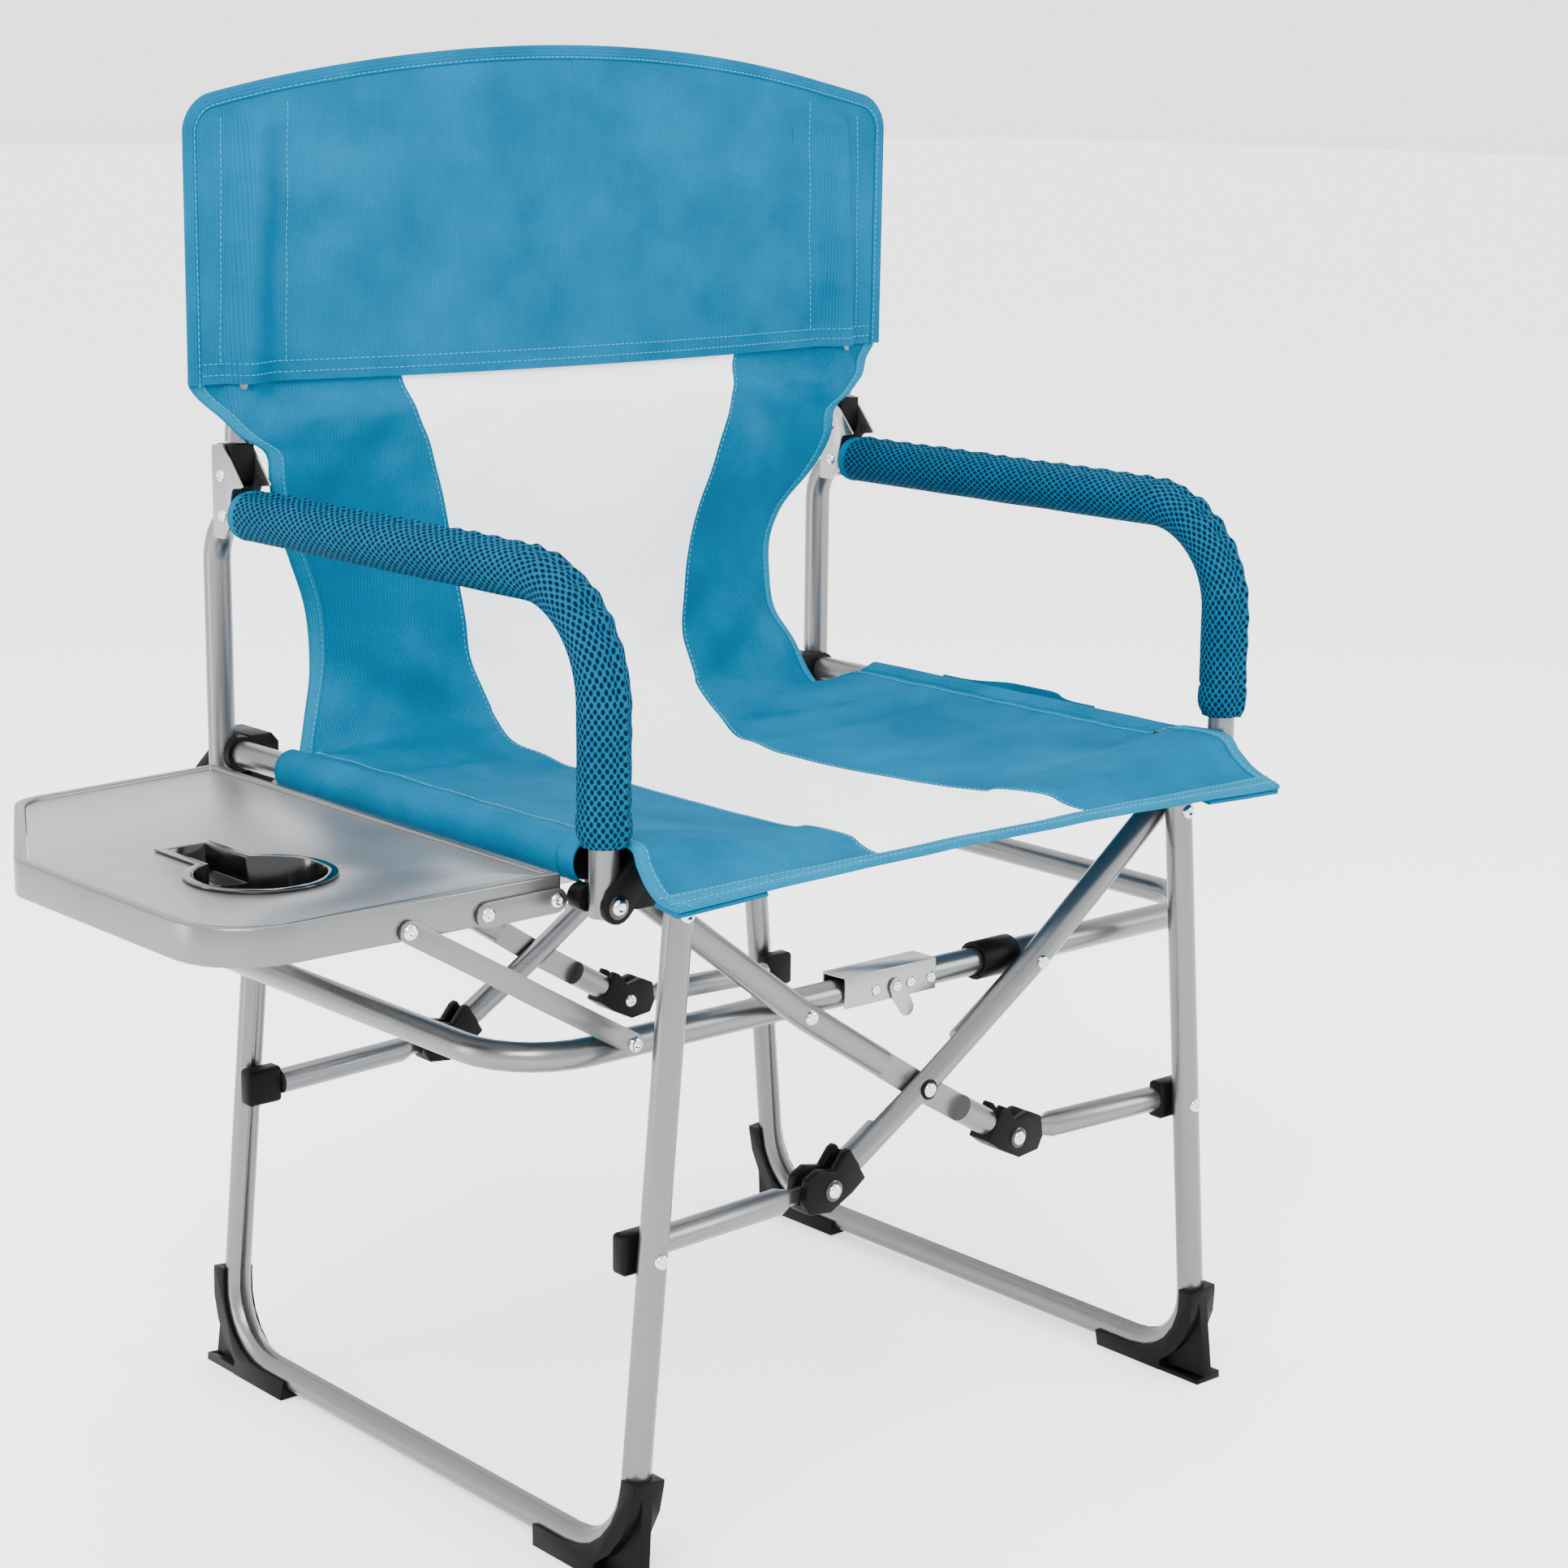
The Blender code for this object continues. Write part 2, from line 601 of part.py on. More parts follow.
def back_post(side_name, side):
    return tube("back_post_" + side_name, back_post_path(side), 0.0088, STEEL)


# ---- side table ---------------------------------------------------------------------
RIM = 0.0075


def table_outline(inset):
    """The top seen from above: one rear corner is cut back and one front corner is round."""
    corners = [(TABLE_IN_X - inset, TABLE_FRONT_Y + inset),
               (TABLE_IN_X - inset, TABLE_REAR_Y - inset),
               (-0.4515 + 0.5 * inset, 0.1755 - inset),
               (TABLE_OUT_X + inset, 0.0285 - 0.5 * inset),
               (TABLE_OUT_X + inset, TABLE_FRONT_Y + inset)]
    return rounded(corners, [0.002, 0.002, 0.030, 0.030, 0.050 - inset], 6)


def table_frame():
    """Rolled apron: a ring as tall as the skirt."""
    z = TABLE_TOP_Z - TABLE_SKIRT / 2
    ring = plate("table_frame", table_outline(0.0), "xy", z, TABLE_SKIRT, SHEET)
    room = plate("table_frame_room", table_outline(RIM), "xy", z, TABLE_SKIRT + 0.02, None, CUTTERS)
    return cut(ring, room)


CUP_R = 0.0400
CUP_WALL = 0.0016
CUP_DEEP = 0.0400
SLOT_HALF = 0.0130
SLOT_END_Y = -0.0075
PANEL_TOP = TABLE_TOP_Z - 0.0018


def keyhole(grow, radius, low, high, name, mat, group, slot_low=None):
    """Round well with a straight slot toward the back, as one body."""
    x, y = CUP
    well = cylinder(name, (x, y, (low + high) / 2), (0, 0, 1), radius + grow, high - low, mat, 32, group)
    slot_low = low if slot_low is None else slot_low
    slot = box(name + "_slot", (x - SLOT_HALF - grow, y, slot_low),
               (x + SLOT_HALF + grow, SLOT_END_Y + grow, high), None, CUTTERS)
    return cut(well, slot, "UNION")


def table_top():
    panel = plate("table_top", table_outline(RIM + GAP), "xy", PANEL_TOP - 0.0011, 0.0022, SHEET)
    hole = keyhole(CUP_WALL + 0.0005, CUP_R, PANEL_TOP - 0.02, PANEL_TOP + 0.02, "table_top_hole",
                   None, CUTTERS)
    return cut(panel, hole)


def cup_holder():
    bottom = PANEL_TOP - CUP_DEEP
    lip = PANEL_TOP + GAP
    shelf = PANEL_TOP - 0.014
    body = keyhole(CUP_WALL, CUP_R, bottom, lip + 0.0005, "cup_holder", PLASTIC, PARTS,
                   shelf - CUP_WALL)
    rim = keyhole(0.0062, CUP_R, lip, lip + 0.0016, "cup_rim", None, CUTTERS)
    cut(body, rim, "UNION")
    room = keyhole(0.0, CUP_R, bottom + CUP_WALL, lip + 0.02, "cup_room", None, CUTTERS, shelf)
    return cut(body, room)


def flat_bar(name, start, stop, half, y, thickness, mat, group=PARTS):
    """A flat bar with round ends, drawn in the XZ plane."""
    start, stop = Vector(start), Vector(stop)
    heading = math.degrees(math.atan2(stop.y - start.y, stop.x - start.x))
    outline = [*arc(start, half, heading + 90, heading + 270, 8),
               *arc(stop, half, heading - 90, heading + 90, 8)]
    return plate(name, outline, "xz", y, thickness, mat, group)


BAR = 0.0025               # thickness of the flat bars


def table_arm(end_name, end, edge_y):
    y = edge_y + end * (GAP + BAR / 2)
    return flat_bar("table_arm_" + end_name, (-0.3482, 0.4441), (-0.2975, 0.4447), 0.0078, y,
                    BAR, SHEET)


def table_block(end_name, low_y, high_y):
    centre = (TABLE_PIVOT[0], (low_y + high_y) / 2, TABLE_PIVOT[1])
    name = "table_block_" + end_name
    return cylinder(name, centre, (0, 1, 0), 0.0085, high_y - low_y, PLASTIC, 16)


STAY_STEP = (0.0850, 0.1080)     # distances from the table's rivet where the front stay steps in


def table_stay(end_name, end, marks, depths):
    """Folding stay from the table's edge to the left brace; its |y| changes between marks."""
    bar = flat_bar("table_stay_" + end_name, STAY_TABLE, STAY_BRACE, 0.0070, 0.0, BAR, SHEET)
    start, stop = Vector(STAY_TABLE), Vector(STAY_BRACE)
    along = (stop - start).normalized()
    bm = bmesh.new()
    bm.from_mesh(bar.data)
    for mark in marks:
        spot = start + along * mark
        bmesh.ops.bisect_plane(bm, geom=[*bm.verts, *bm.edges, *bm.faces], dist=0.00001,
                               plane_co=(spot.x, 0, spot.y), plane_no=(along.x, 0, along.y))
    for vert in bm.verts:
        reach = (Vector((vert.co.x, vert.co.z)) - start).dot(along)
        share = min(max((reach - marks[0]) / (marks[1] - marks[0]), 0.0), 1.0)
        vert.co.y += end * (depths[0] + (depths[1] - depths[0]) * share)
    bm.to_mesh(bar.data)
    bm.free()
    return bar


# ---- cover (plain solids for collision and mass) ------------------------------------
SEAT_REAR_Y = 0.1300
SEAT_FRONT_Y = -0.2860
SLEEVE_FRONT_Y = -0.1870
RAIL_SLEEVE_R = 0.0135
BAND_LOW_Z = 0.7200
BAND_Y = 0.1660
POST_SLEEVE_R = 0.0128


def slab(name, outline, low_y, high_y, side, mat, group):
    mirrored = [(side * x, z) for x, z in outline]
    return plate(name, mirrored, "xz", (low_y + high_y) / 2, high_y - low_y, mat, group)


def seat_half(side_name, side):
    """Half of the seat sling, dipping from the rail to the middle, with its rail sleeve."""
    name = "seat_cover_" + side_name
    low = [(MID_GAP, 0.4480), (0.0900, 0.4520), (0.1800, 0.4580), (0.2310, 0.4640)]
    top = [(x, z + CLOTH) for x, z in reversed(low)]
    body = slab(name, low + top, SEAT_FRONT_Y, SEAT_REAR_Y, side, CANVAS, PARTS)
    run = [(0.2200, 0.4625), (0.2600, 0.4670), (0.2600, 0.4720), (0.2200, 0.4666)]
    bridge = slab(name + "_bridge", run, SLEEVE_FRONT_Y, SEAT_REAR_Y, side, None, CUTTERS)
    flare = [(0.2200, 0.4520), (0.2680, 0.4520), (0.2680, 0.4560), (0.2200, 0.4660)]
    lip = slab(name + "_lip", flare, SEAT_FRONT_Y, -0.2465, side, None, CUTTERS)
    centre = (side * RAIL[0], (SLEEVE_FRONT_Y + SEAT_REAR_Y) / 2, RAIL[1])
    length = SEAT_REAR_Y - SLEEVE_FRONT_Y
    loop = cylinder(name + "_loop", centre, (0, 1, 0), RAIL_SLEEVE_R, length, None, group=CUTTERS)
    room = cylinder(name + "_room", centre, (0, 1, 0), TUBE_R + 0.0005, length + 0.02, None,
                    group=CUTTERS)
    cut(body, bridge, "UNION")
    cut(body, lip, "UNION")
    cut(body, loop, "UNION")
    return cut(body, room)


def back_half(side_name, side):
    """Half of the lower back panel, rising from the seat crease to the band."""
    outline = [(MID_GAP, 0.4620), (0.2100, 0.4740), (0.2150, 0.5600), (0.2400, 0.6600),
               (0.2560, 0.6900), (0.2560, BAND_LOW_Z - 0.001), (MID_GAP, BAND_LOW_Z - 0.001)]
    panel = slab("back_cover_" + side_name, outline, -CLOTH / 2, CLOTH / 2, side, CANVAS, PARTS)
    for vert in panel.data.vertices:
        rise = (vert.co.z - 0.4620) / (BAND_LOW_Z - 0.4620)
        vert.co.y += 0.1365 + (BAND_Y - 0.1365) * math.sqrt(max(rise, 0.0))
    return panel


def band_half(side_name, side):
    """Half of the upper band, with the sleeve that slips over the back post."""
    name = "back_band_" + side_name
    outline = [(MID_GAP, BAND_LOW_Z), (0.3090, BAND_LOW_Z), (0.3110, 0.7300), (0.3110, 0.8850),
               (0.3000, 0.9000), (0.2000, 0.9290), (0.1000, 0.9420), (MID_GAP, 0.9460)]
    body = slab(name, outline, BAND_Y - CLOTH / 2, BAND_Y + CLOTH / 2, side, CANVAS, PARTS)
    foot, head = [Vector(p) for p in back_post_path(side)]
    lean = (head - foot) / (head.z - foot.z)
    low = foot + lean * (BAND_LOW_Z - foot.z)
    top = head + lean * 0.0040
    sleeve = tube(name + "_sleeve", [low, top], POST_SLEEVE_R, None, group=CUTTERS)
    room = tube(name + "_room", [foot - lean * 0.01, head + lean * 0.0010], 0.0093, None,
                group=CUTTERS)
    cut(body, sleeve, "UNION")
    return cut(body, room)


# ---- assembly -----------------------------------------------------------------------
def build_side(side_name, side):
    leg_frame(side_name, side)
    for end_name, end in ENDS.items():
        shoe(end_name, end, side_name, side)
        corner_fitting(end_name, end, side_name, side)
        clevis("clevis_%s_%s" % (end_name, side_name), side, end)
        strut("strut_%s_%s" % (end_name, side_name), side, end)
        post_bracket("strut_bracket_%s_%s" % (end_name, side_name), side, end)
    seat_rail(side_name, side)
    arm_tube(side_name, side)
    arm_pad(side_name, side)
    hinge_bracket(side_name, side)
    back_socket(side_name, side)
    back_post(side_name, side)
    brace(side_name, side)
    seat_half(side_name, side)
    back_half(side_name, side)
    band_half(side_name, side)


def build_middle():
    crossing_tube("cross_tube_front_left", -1, -1, False)
    crossing_tube("cross_tube_front_right", 1, -1, True)
    crossing_tube("cross_tube_rear_left", -1, 1, True)
    crossing_tube("cross_tube_rear_right", 1, 1, False)
    sleeve("front", -1)
    sleeve("rear", 1)
    latch()
    brace_clip("brace_clip_front", 1, -1)
    brace_clip("brace_clip_rear", -1, 1)


def build_table():
    table_frame()
    table_top()
    cup_holder()
    table_arm("front", -1, TABLE_FRONT_Y)
    table_arm("rear", 1, TABLE_REAR_Y)
    table_block("front", ARM_FRONT_Y + TUBE_R + 0.0005, -0.2030)
    table_block("rear", 0.1890, ARM_REAR_Y - TUBE_R - 0.0005)
    table_stay("front", -1, STAY_STEP, (0.2068, 0.2020))
    table_stay("rear", 1, (0.0, 0.1977), (0.1925, 0.2018))


def pivot(name, spot, parent=None):
    """An empty on a joint's axis; the pieces that turn there hang from it."""
    empty = bpy.data.objects.new("pivot_" + name, None)
    empty.empty_display_size = 0.03
    PARTS.objects.link(empty)
    empty.location = Vector(spot)
    if parent:
        empty.parent = parent
        empty.location = Vector(spot) - world_spot(parent)
    return empty


def world_spot(empty):
    spot = empty.location.copy()
    while empty.parent:
        empty = empty.parent
        spot += empty.location
    return spot


def hang(empty, *names):
    """Give the pieces their origin on the pivot, without moving their surfaces."""
    spot = world_spot(empty)
    for name in names:
        obj = bpy.data.objects[name]
        obj.data.transform(Matrix.Translation(-spot))
        obj.parent = empty


def both_ends(pattern, side_name):
    return [pattern % (end_name, side_name) for end_name in ENDS]


def assemble():
    """The chair as a tree of pivots, starting from the right leg frame on the floor."""
    post_right = pivot("post_top_right", (PIVOT_X, 0, PIVOT_Z))
    crossing = pivot("crossing", (0, 0, CROSS_Z), post_right)
    post_left = pivot("post_top_left", (-PIVOT_X, 0, PIVOT_Z), crossing)
    hang(post_left, "leg_frame_left", *both_ends("shoe_%s_%s", "left"))
    tops = {"right": post_right, "left": crossing}
    for side_name, side in SIDES.items():
        other = {"left": "right", "right": "left"}[side_name]
        top = tops[side_name]
        hang(top, "seat_rail_" + side_name, "seat_cover_" + side_name,
             *both_ends("cross_tube_%s_%s", side_name), *both_ends("clevis_%s_%s", other),
             *both_ends("corner_fitting_%s_%s", side_name))
        low = (-side * LOW_END[0], 0, LOW_END[1])
        hang(pivot("strut_" + other, low, top), *both_ends("strut_%s_%s", other),
             *both_ends("strut_bracket_%s_%s", other))
        arm = pivot("arm_" + side_name, (side * ARM_PIVOT[0], 0, ARM_PIVOT[1]), top)
        hang(arm, "arm_tube_" + side_name, "arm_pad_" + side_name,
             "hinge_bracket_" + side_name, "back_cover_" + side_name)
        back = pivot("back_" + side_name, (side * ARM_X, *BACK_PIVOT), arm)
        hang(back, "back_socket_" + side_name, "back_post_" + side_name,
             "back_band_" + side_name)
    brace_left = pivot("brace_left", (-BRACE_PIVOT[0], 0, BRACE_PIVOT[1]), crossing)
    hang(brace_left, "brace_left", "knuckle_sleeve_front", "knuckle_sleeve_rear",
         "brace_clip_rear")
    knuckle = pivot("knuckle", (0, 0, BRACE_PIVOT[1]), brace_left)
    hang(knuckle, "brace_right", "brace_clip_front")
    hang(pivot("latch", (LATCH_PIVOT[0], -BRACE_Y, LATCH_PIVOT[1]), brace_left), "latch_lever")
    table = pivot("table", (TABLE_PIVOT[0], 0, TABLE_PIVOT[1]), crossing)
    hang(table, "table_frame", "table_top", "cup_holder", "table_arm_front", "table_arm_rear",
         "table_block_front", "table_block_rear")
    stay = pivot("table_stay", (STAY_TABLE[0], 0, STAY_TABLE[1]), table)
    hang(stay, "table_stay_front", "table_stay_rear")


for side_name, side in SIDES.items():
    build_side(side_name, side)
build_middle()
build_table()
assemble()
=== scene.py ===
"""Looks of the folding director chair with a side table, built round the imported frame.

Metres; +X to the viewer's right, +Y to the back, +Z up. "left" is the side of the table.
"""
import math

import bmesh
import bpy
import numpy as np
from mathutils import Matrix, Vector, noise


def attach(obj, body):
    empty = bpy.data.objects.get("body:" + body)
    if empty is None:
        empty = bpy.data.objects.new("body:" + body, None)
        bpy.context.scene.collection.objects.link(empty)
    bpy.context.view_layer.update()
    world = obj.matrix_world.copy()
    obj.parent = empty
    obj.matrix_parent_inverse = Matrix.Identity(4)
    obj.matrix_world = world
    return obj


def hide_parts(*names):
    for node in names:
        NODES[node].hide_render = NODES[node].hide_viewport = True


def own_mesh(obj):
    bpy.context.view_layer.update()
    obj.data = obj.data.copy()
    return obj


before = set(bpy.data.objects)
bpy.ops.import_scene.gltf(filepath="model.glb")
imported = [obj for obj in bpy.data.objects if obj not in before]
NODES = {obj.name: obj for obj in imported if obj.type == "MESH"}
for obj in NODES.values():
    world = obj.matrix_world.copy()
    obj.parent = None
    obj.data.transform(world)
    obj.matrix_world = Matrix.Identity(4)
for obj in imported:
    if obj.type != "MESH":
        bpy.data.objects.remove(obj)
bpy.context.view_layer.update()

SIDES = {"left": -1, "right": 1}
ENDS = {"front": -1, "rear": 1}

# ---- dimensions shared with the CAD part --------------------------------------------
TUBE_R = 0.0095
PIVOT = (0.2250, 0.4306)           # x, z of the post-top pivots
SPLAY = math.radians(5.1)
POST_Y = 0.2335
LAYER_Y = 0.2135
BRACE_Y = 0.1900
CROSS_Z = 0.2696
BRACE_PIVOT = (0.1053, 0.3390)
LOW_END = (0.0850, 0.2181)
STRUT_POST_Z = 0.2130
RAIL = (0.2685, 0.4640)
ARM_X = 0.2755
ARM_PIVOT = (0.2760, 0.4435)
ARM_TOP_Z = 0.6335
ARM_FRONT_Y = -0.2250
ARM_FRONT_BEND = 0.070
PAD_R = 0.0166
PAD_REAR_Y = 0.1650
PAD_FRONT_Z = {"left": 0.4780, "right": 0.4900}
BACK_PIVOT = (0.1785, 0.6600)
POST_LOW = (0.2735, 0.6820)        # x, z of a back post's foot
POST_HIGH = (0.2600, 0.8860)
SLEEVE_Y = (-0.2040, 0.1300)       # where the seat's sleeves sit on the rails
SLEEVE_R = 0.0132
BAND_LOW_Z = 0.7215

# ---- camera, floor and light --------------------------------------------------------
CAMERA_AT = (-1.4331, -1.7089, 0.9351)
CAMERA_AZIMUTH = 0.7193
CAMERA_DOWN = 0.2187
CAMERA_ROLL = 0.0114
CAMERA_LENS = 74.43


def make_camera():
    data = bpy.data.cameras.new("camera")
    data.lens = CAMERA_LENS
    data.sensor_width = 36.0
    data.clip_end = 60.0
    camera = bpy.data.objects.new("camera", data)
    bpy.context.scene.collection.objects.link(camera)
    az, down, roll = CAMERA_AZIMUTH, CAMERA_DOWN, CAMERA_ROLL
    ahead = Vector((math.sin(az) * math.cos(down), math.cos(az) * math.cos(down), -math.sin(down)))
    right = Vector((math.cos(az), -math.sin(az), 0))
    up = right.cross(ahead)
    x_axis = math.cos(roll) * right + math.sin(roll) * up
    y_axis = -math.sin(roll) * right + math.cos(roll) * up
    turn = Matrix((x_axis, y_axis, -ahead)).transposed().to_4x4()
    camera.matrix_world = Matrix.Translation(CAMERA_AT) @ turn
    bpy.context.scene.camera = camera


def make_light(name, spot, target, width, height, power):
    data = bpy.data.lights.new(name, "AREA")
    data.shape = "RECTANGLE"
    data.size, data.size_y = width, height
    data.energy = power
    light = bpy.data.objects.new(name, data)
    bpy.context.scene.collection.objects.link(light)
    light.location = spot
    aim = Vector(target) - Vector(spot)
    light.rotation_euler = aim.to_track_quat("-Z", "Y").to_euler()


def make_studio():
    world = bpy.data.worlds.new("studio")
    bpy.context.scene.world = world
    world.use_nodes = True
    tree = world.node_tree
    sky = tree.nodes["Background"]
    place = add(tree, "ShaderNodeTexCoord").outputs["Generated"]
    height = add(tree, "ShaderNodeSeparateXYZ", {0: place}).outputs["Z"]
    shade = add(tree, "ShaderNodeValToRGB", {0: spread(tree, height, within=(-1.0, 1.0))})
    ground, sky_end = shade.color_ramp.elements
    ground.position, ground.color = 0.40, (0.42, 0.42, 0.43, 1)
    sky_end.position, sky_end.color = 0.49, (1.0, 1.0, 1.0, 1)
    tree.links.new(shade.outputs[0], sky.inputs["Color"])
    sky.inputs["Strength"].default_value = 2.4
    bm = bmesh.new()
    bmesh.ops.create_grid(bm, x_segments=2, y_segments=2, size=30)
    mesh = bpy.data.meshes.new("floor")
    bm.to_mesh(mesh)
    bm.free()
    floor = bpy.data.objects.new("floor", mesh)
    bpy.context.scene.collection.objects.link(floor)
    floor.location.z = -0.0002
    mesh.materials.append(plain("floor_paper", (0.92, 0.92, 0.92), 0.9, 0.0,
                                {"Emission Color": (1, 1, 1, 1), "Emission Strength": 0.7}))
    make_light("key", (-2.2, -1.6, 2.6), (0, 0, 0.45), 1.6, 1.2, 150)
    make_light("fill", (2.2, -2.4, 1.6), (0, 0, 0.45), 1.2, 1.6, 62)
    make_light("top", (0.2, 0.5, 3.0), (0, 0, 0.4), 2.2, 2.2, 46)
    make_light("side", (-2.6, 1.2, 0.9), (0, 0, 0.35), 0.5, 1.8, 34)


# ---- materials ----------------------------------------------------------------------
def add(tree, kind, values=None, **settings):
    """A node; an input is given a number, a colour or another node's socket."""
    node = tree.nodes.new(kind)
    for key, value in settings.items():
        setattr(node, key, value)
    for key, value in (values or {}).items():
        if isinstance(value, bpy.types.NodeSocket):
            tree.links.new(value, node.inputs[key])
        else:
            node.inputs[key].default_value = value
    return node


def plain(name, colour, roughness, metallic=0.0, values=None):
    mat = bpy.data.materials.new(name)
    mat.use_nodes = True
    shader = mat.node_tree.nodes["Principled BSDF"]
    shader.inputs["Base Color"].default_value = (*colour, 1)
    shader.inputs["Roughness"].default_value = roughness
    shader.inputs["Metallic"].default_value = metallic
    for key, value in (values or {}).items():
        shader.inputs[key].default_value = value
    return mat


def scaled(colour, by):
    return (*[min(c * by, 1.0) for c in colour], 1)


def blend_colours(tree, factor, low, high):
    """A colour between two, by a factor socket."""
    return add(tree, "ShaderNodeMix", {0: factor, 6: low, 7: high}, data_type="RGBA").outputs[2]


def spread(tree, value, to=(0.0, 1.0), within=(0.0, 1.0), **settings):
    """A socket's values within one range, spread over another."""
    return add(tree, "ShaderNodeMapRange", {
        "Value": value, "From Min": within[0], "From Max": within[1],
        "To Min": to[0], "To Max": to[1]}, **settings).outputs[0]


def clouds(tree, place, scale, detail, roughness=0.5):
    return add(tree, "ShaderNodeTexNoise", {
        "Vector": place, "Scale": scale, "Detail": detail, "Roughness": roughness}).outputs["Fac"]


def finish_shader(tree, colour, height, distance, strength=1.0, rough=None):
    """Joins the colour, bump and roughness sockets to the material's shader."""
    bump = add(tree, "ShaderNodeBump", {"Height": height, "Strength": strength,
                                        "Distance": distance}).outputs[0]
    shader = tree.nodes["Principled BSDF"]
    tree.links.new(colour, shader.inputs["Base Color"])
    tree.links.new(bump, shader.inputs["Normal"])
    if rough:
        tree.links.new(rough, shader.inputs["Roughness"])


def worn(mat, colour, fine, slow, tones, gloss, grain, stretch=(1, 1, 1)):
    """Gives a material a fine grain, and slow changes of tone and gloss."""
    tree = mat.node_tree
    where = add(tree, "ShaderNodeTexCoord").outputs["Object"]
    size = add(tree, "ShaderNodeMapping", {"Vector": where, "Scale": stretch}).outputs[0]
    fine = clouds(tree, size, *fine)
    slow = clouds(tree, where, *slow)
    tone = blend_colours(tree, slow, *(scaled(colour, by) for by in tones))
    finish_shader(tree, tone, fine, grain, rough=spread(tree, slow, gloss))
    return mat


def metal(name, colour, roughness, metallic, grain=0.00004, stretch=(1, 1, 1)):
    """Painted or plated steel."""
    return worn(plain(name, colour, roughness, metallic), colour, (1400.0, 3.0),
                (16.0, 6.0, 0.6), (0.88, 1.10), (roughness - 0.07, roughness + 0.08), grain,
                stretch)


def plastic(name, colour, roughness, grain=0.00006, shine=0.06):
    """Moulded plastic: a spark-eroded texture with rubbed, slightly shinier patches."""
    return worn(plain(name, colour, roughness, 0.0, {"Specular IOR Level": shine}), colour,
                (1100.0, 2.0), (45.0, 5.0), (0.75, 1.5), (roughness - 0.10, roughness + 0.10),
                grain)


def waves(tree, place, axis, period):
    """Bands across one axis of the cloth map, which is in metres."""
    bands = 2 * math.pi / 20.0
    return add(tree, "ShaderNodeTexWave", {"Vector": place, "Scale": bands / period,
                                           "Distortion": 0.0},
               wave_type="BANDS", bands_direction=axis).outputs["Fac"]


def canvas(name, colour, rib=0.0022, pick=0.0011, depth=0.00016, cloud=0.20, sheen=0.02):
    """Woven polyester: ribs down the cloth, finer picks across it, and cloudy dye."""
    mat = plain(name, colour, 0.78, 0.0, {"Sheen Weight": sheen, "Sheen Roughness": 0.4,
                                         "Sheen Tint": scaled(colour, 1.6),
                                         "Specular IOR Level": 0.02})
    tree = mat.node_tree
    where = add(tree, "ShaderNodeUVMap", uv_map="cloth").outputs[0]
    ribs = waves(tree, where, "X", rib)
    picks = waves(tree, where, "Y", pick)
    weave = add(tree, "ShaderNodeMath", {0: picks, 1: 0.5, 2: ribs},
                operation="MULTIPLY_ADD").outputs[0]
    dye = spread(tree, clouds(tree, where, 13.0, 4.0, 0.55), within=(0.36, 0.66))
    broad = blend_colours(tree, dye, scaled(colour, 1 - 0.6 * cloud), scaled(colour, 1 + cloud))
    threads = spread(tree, weave, (0.84, 1.10), (0.0, 1.5))
    speck = spread(tree, clouds(tree, where, 620.0, 2.0), (0.93, 1.07), (0.3, 0.7))
    both = add(tree, "ShaderNodeMath", {0: threads, 1: speck}, operation="MULTIPLY").outputs[0]
    shade = add(tree, "ShaderNodeVectorMath", {0: broad, "Scale": both},
                operation="SCALE").outputs[0]
    finish_shader(tree, shade, weave, depth, 0.9)
    return mat


def knit(name, colour, hole_shade, pitch=0.0033):
    """Spacer mesh: rows of small holes, their dark colour painted shade, in a diamond net of
    raised yarn.
    """
    mat = plain(name, colour, 0.82, 0.0, {"Sheen Weight": 0.02, "Sheen Roughness": 0.5,
                                         "Specular IOR Level": 0.05,
                                         "Sheen Tint": scaled(colour, 2.0)})
    tree = mat.node_tree
    where = add(tree, "ShaderNodeUVMap", uv_map="cloth").outputs[0]
    turn = add(tree, "ShaderNodeMapping", {"Vector": where, "Rotation": (0, 0, math.radians(45)),
                                           "Scale": (1.0, 0.72, 1.0)}).outputs[0]
    cells = add(tree, "ShaderNodeTexVoronoi", {"Vector": turn, "Scale": 1 / pitch,
                                               "Randomness": 0.12},
                voronoi_dimensions="2D").outputs["Distance"]
    net = spread(tree, cells, within=(0.22, 0.46), interpolation_type="SMOOTHSTEP")
    yarn = blend_colours(tree, clouds(tree, where, 26.0, 4.0), scaled(colour, 0.78),
                         scaled(colour, 1.25))
    # Painted shade: the holes get a near-black colour for the shade down inside them.
    finish_shader(tree, blend_colours(tree, net, (*hole_shade, 1), yarn), net, 0.0007, 0.9)
    return mat


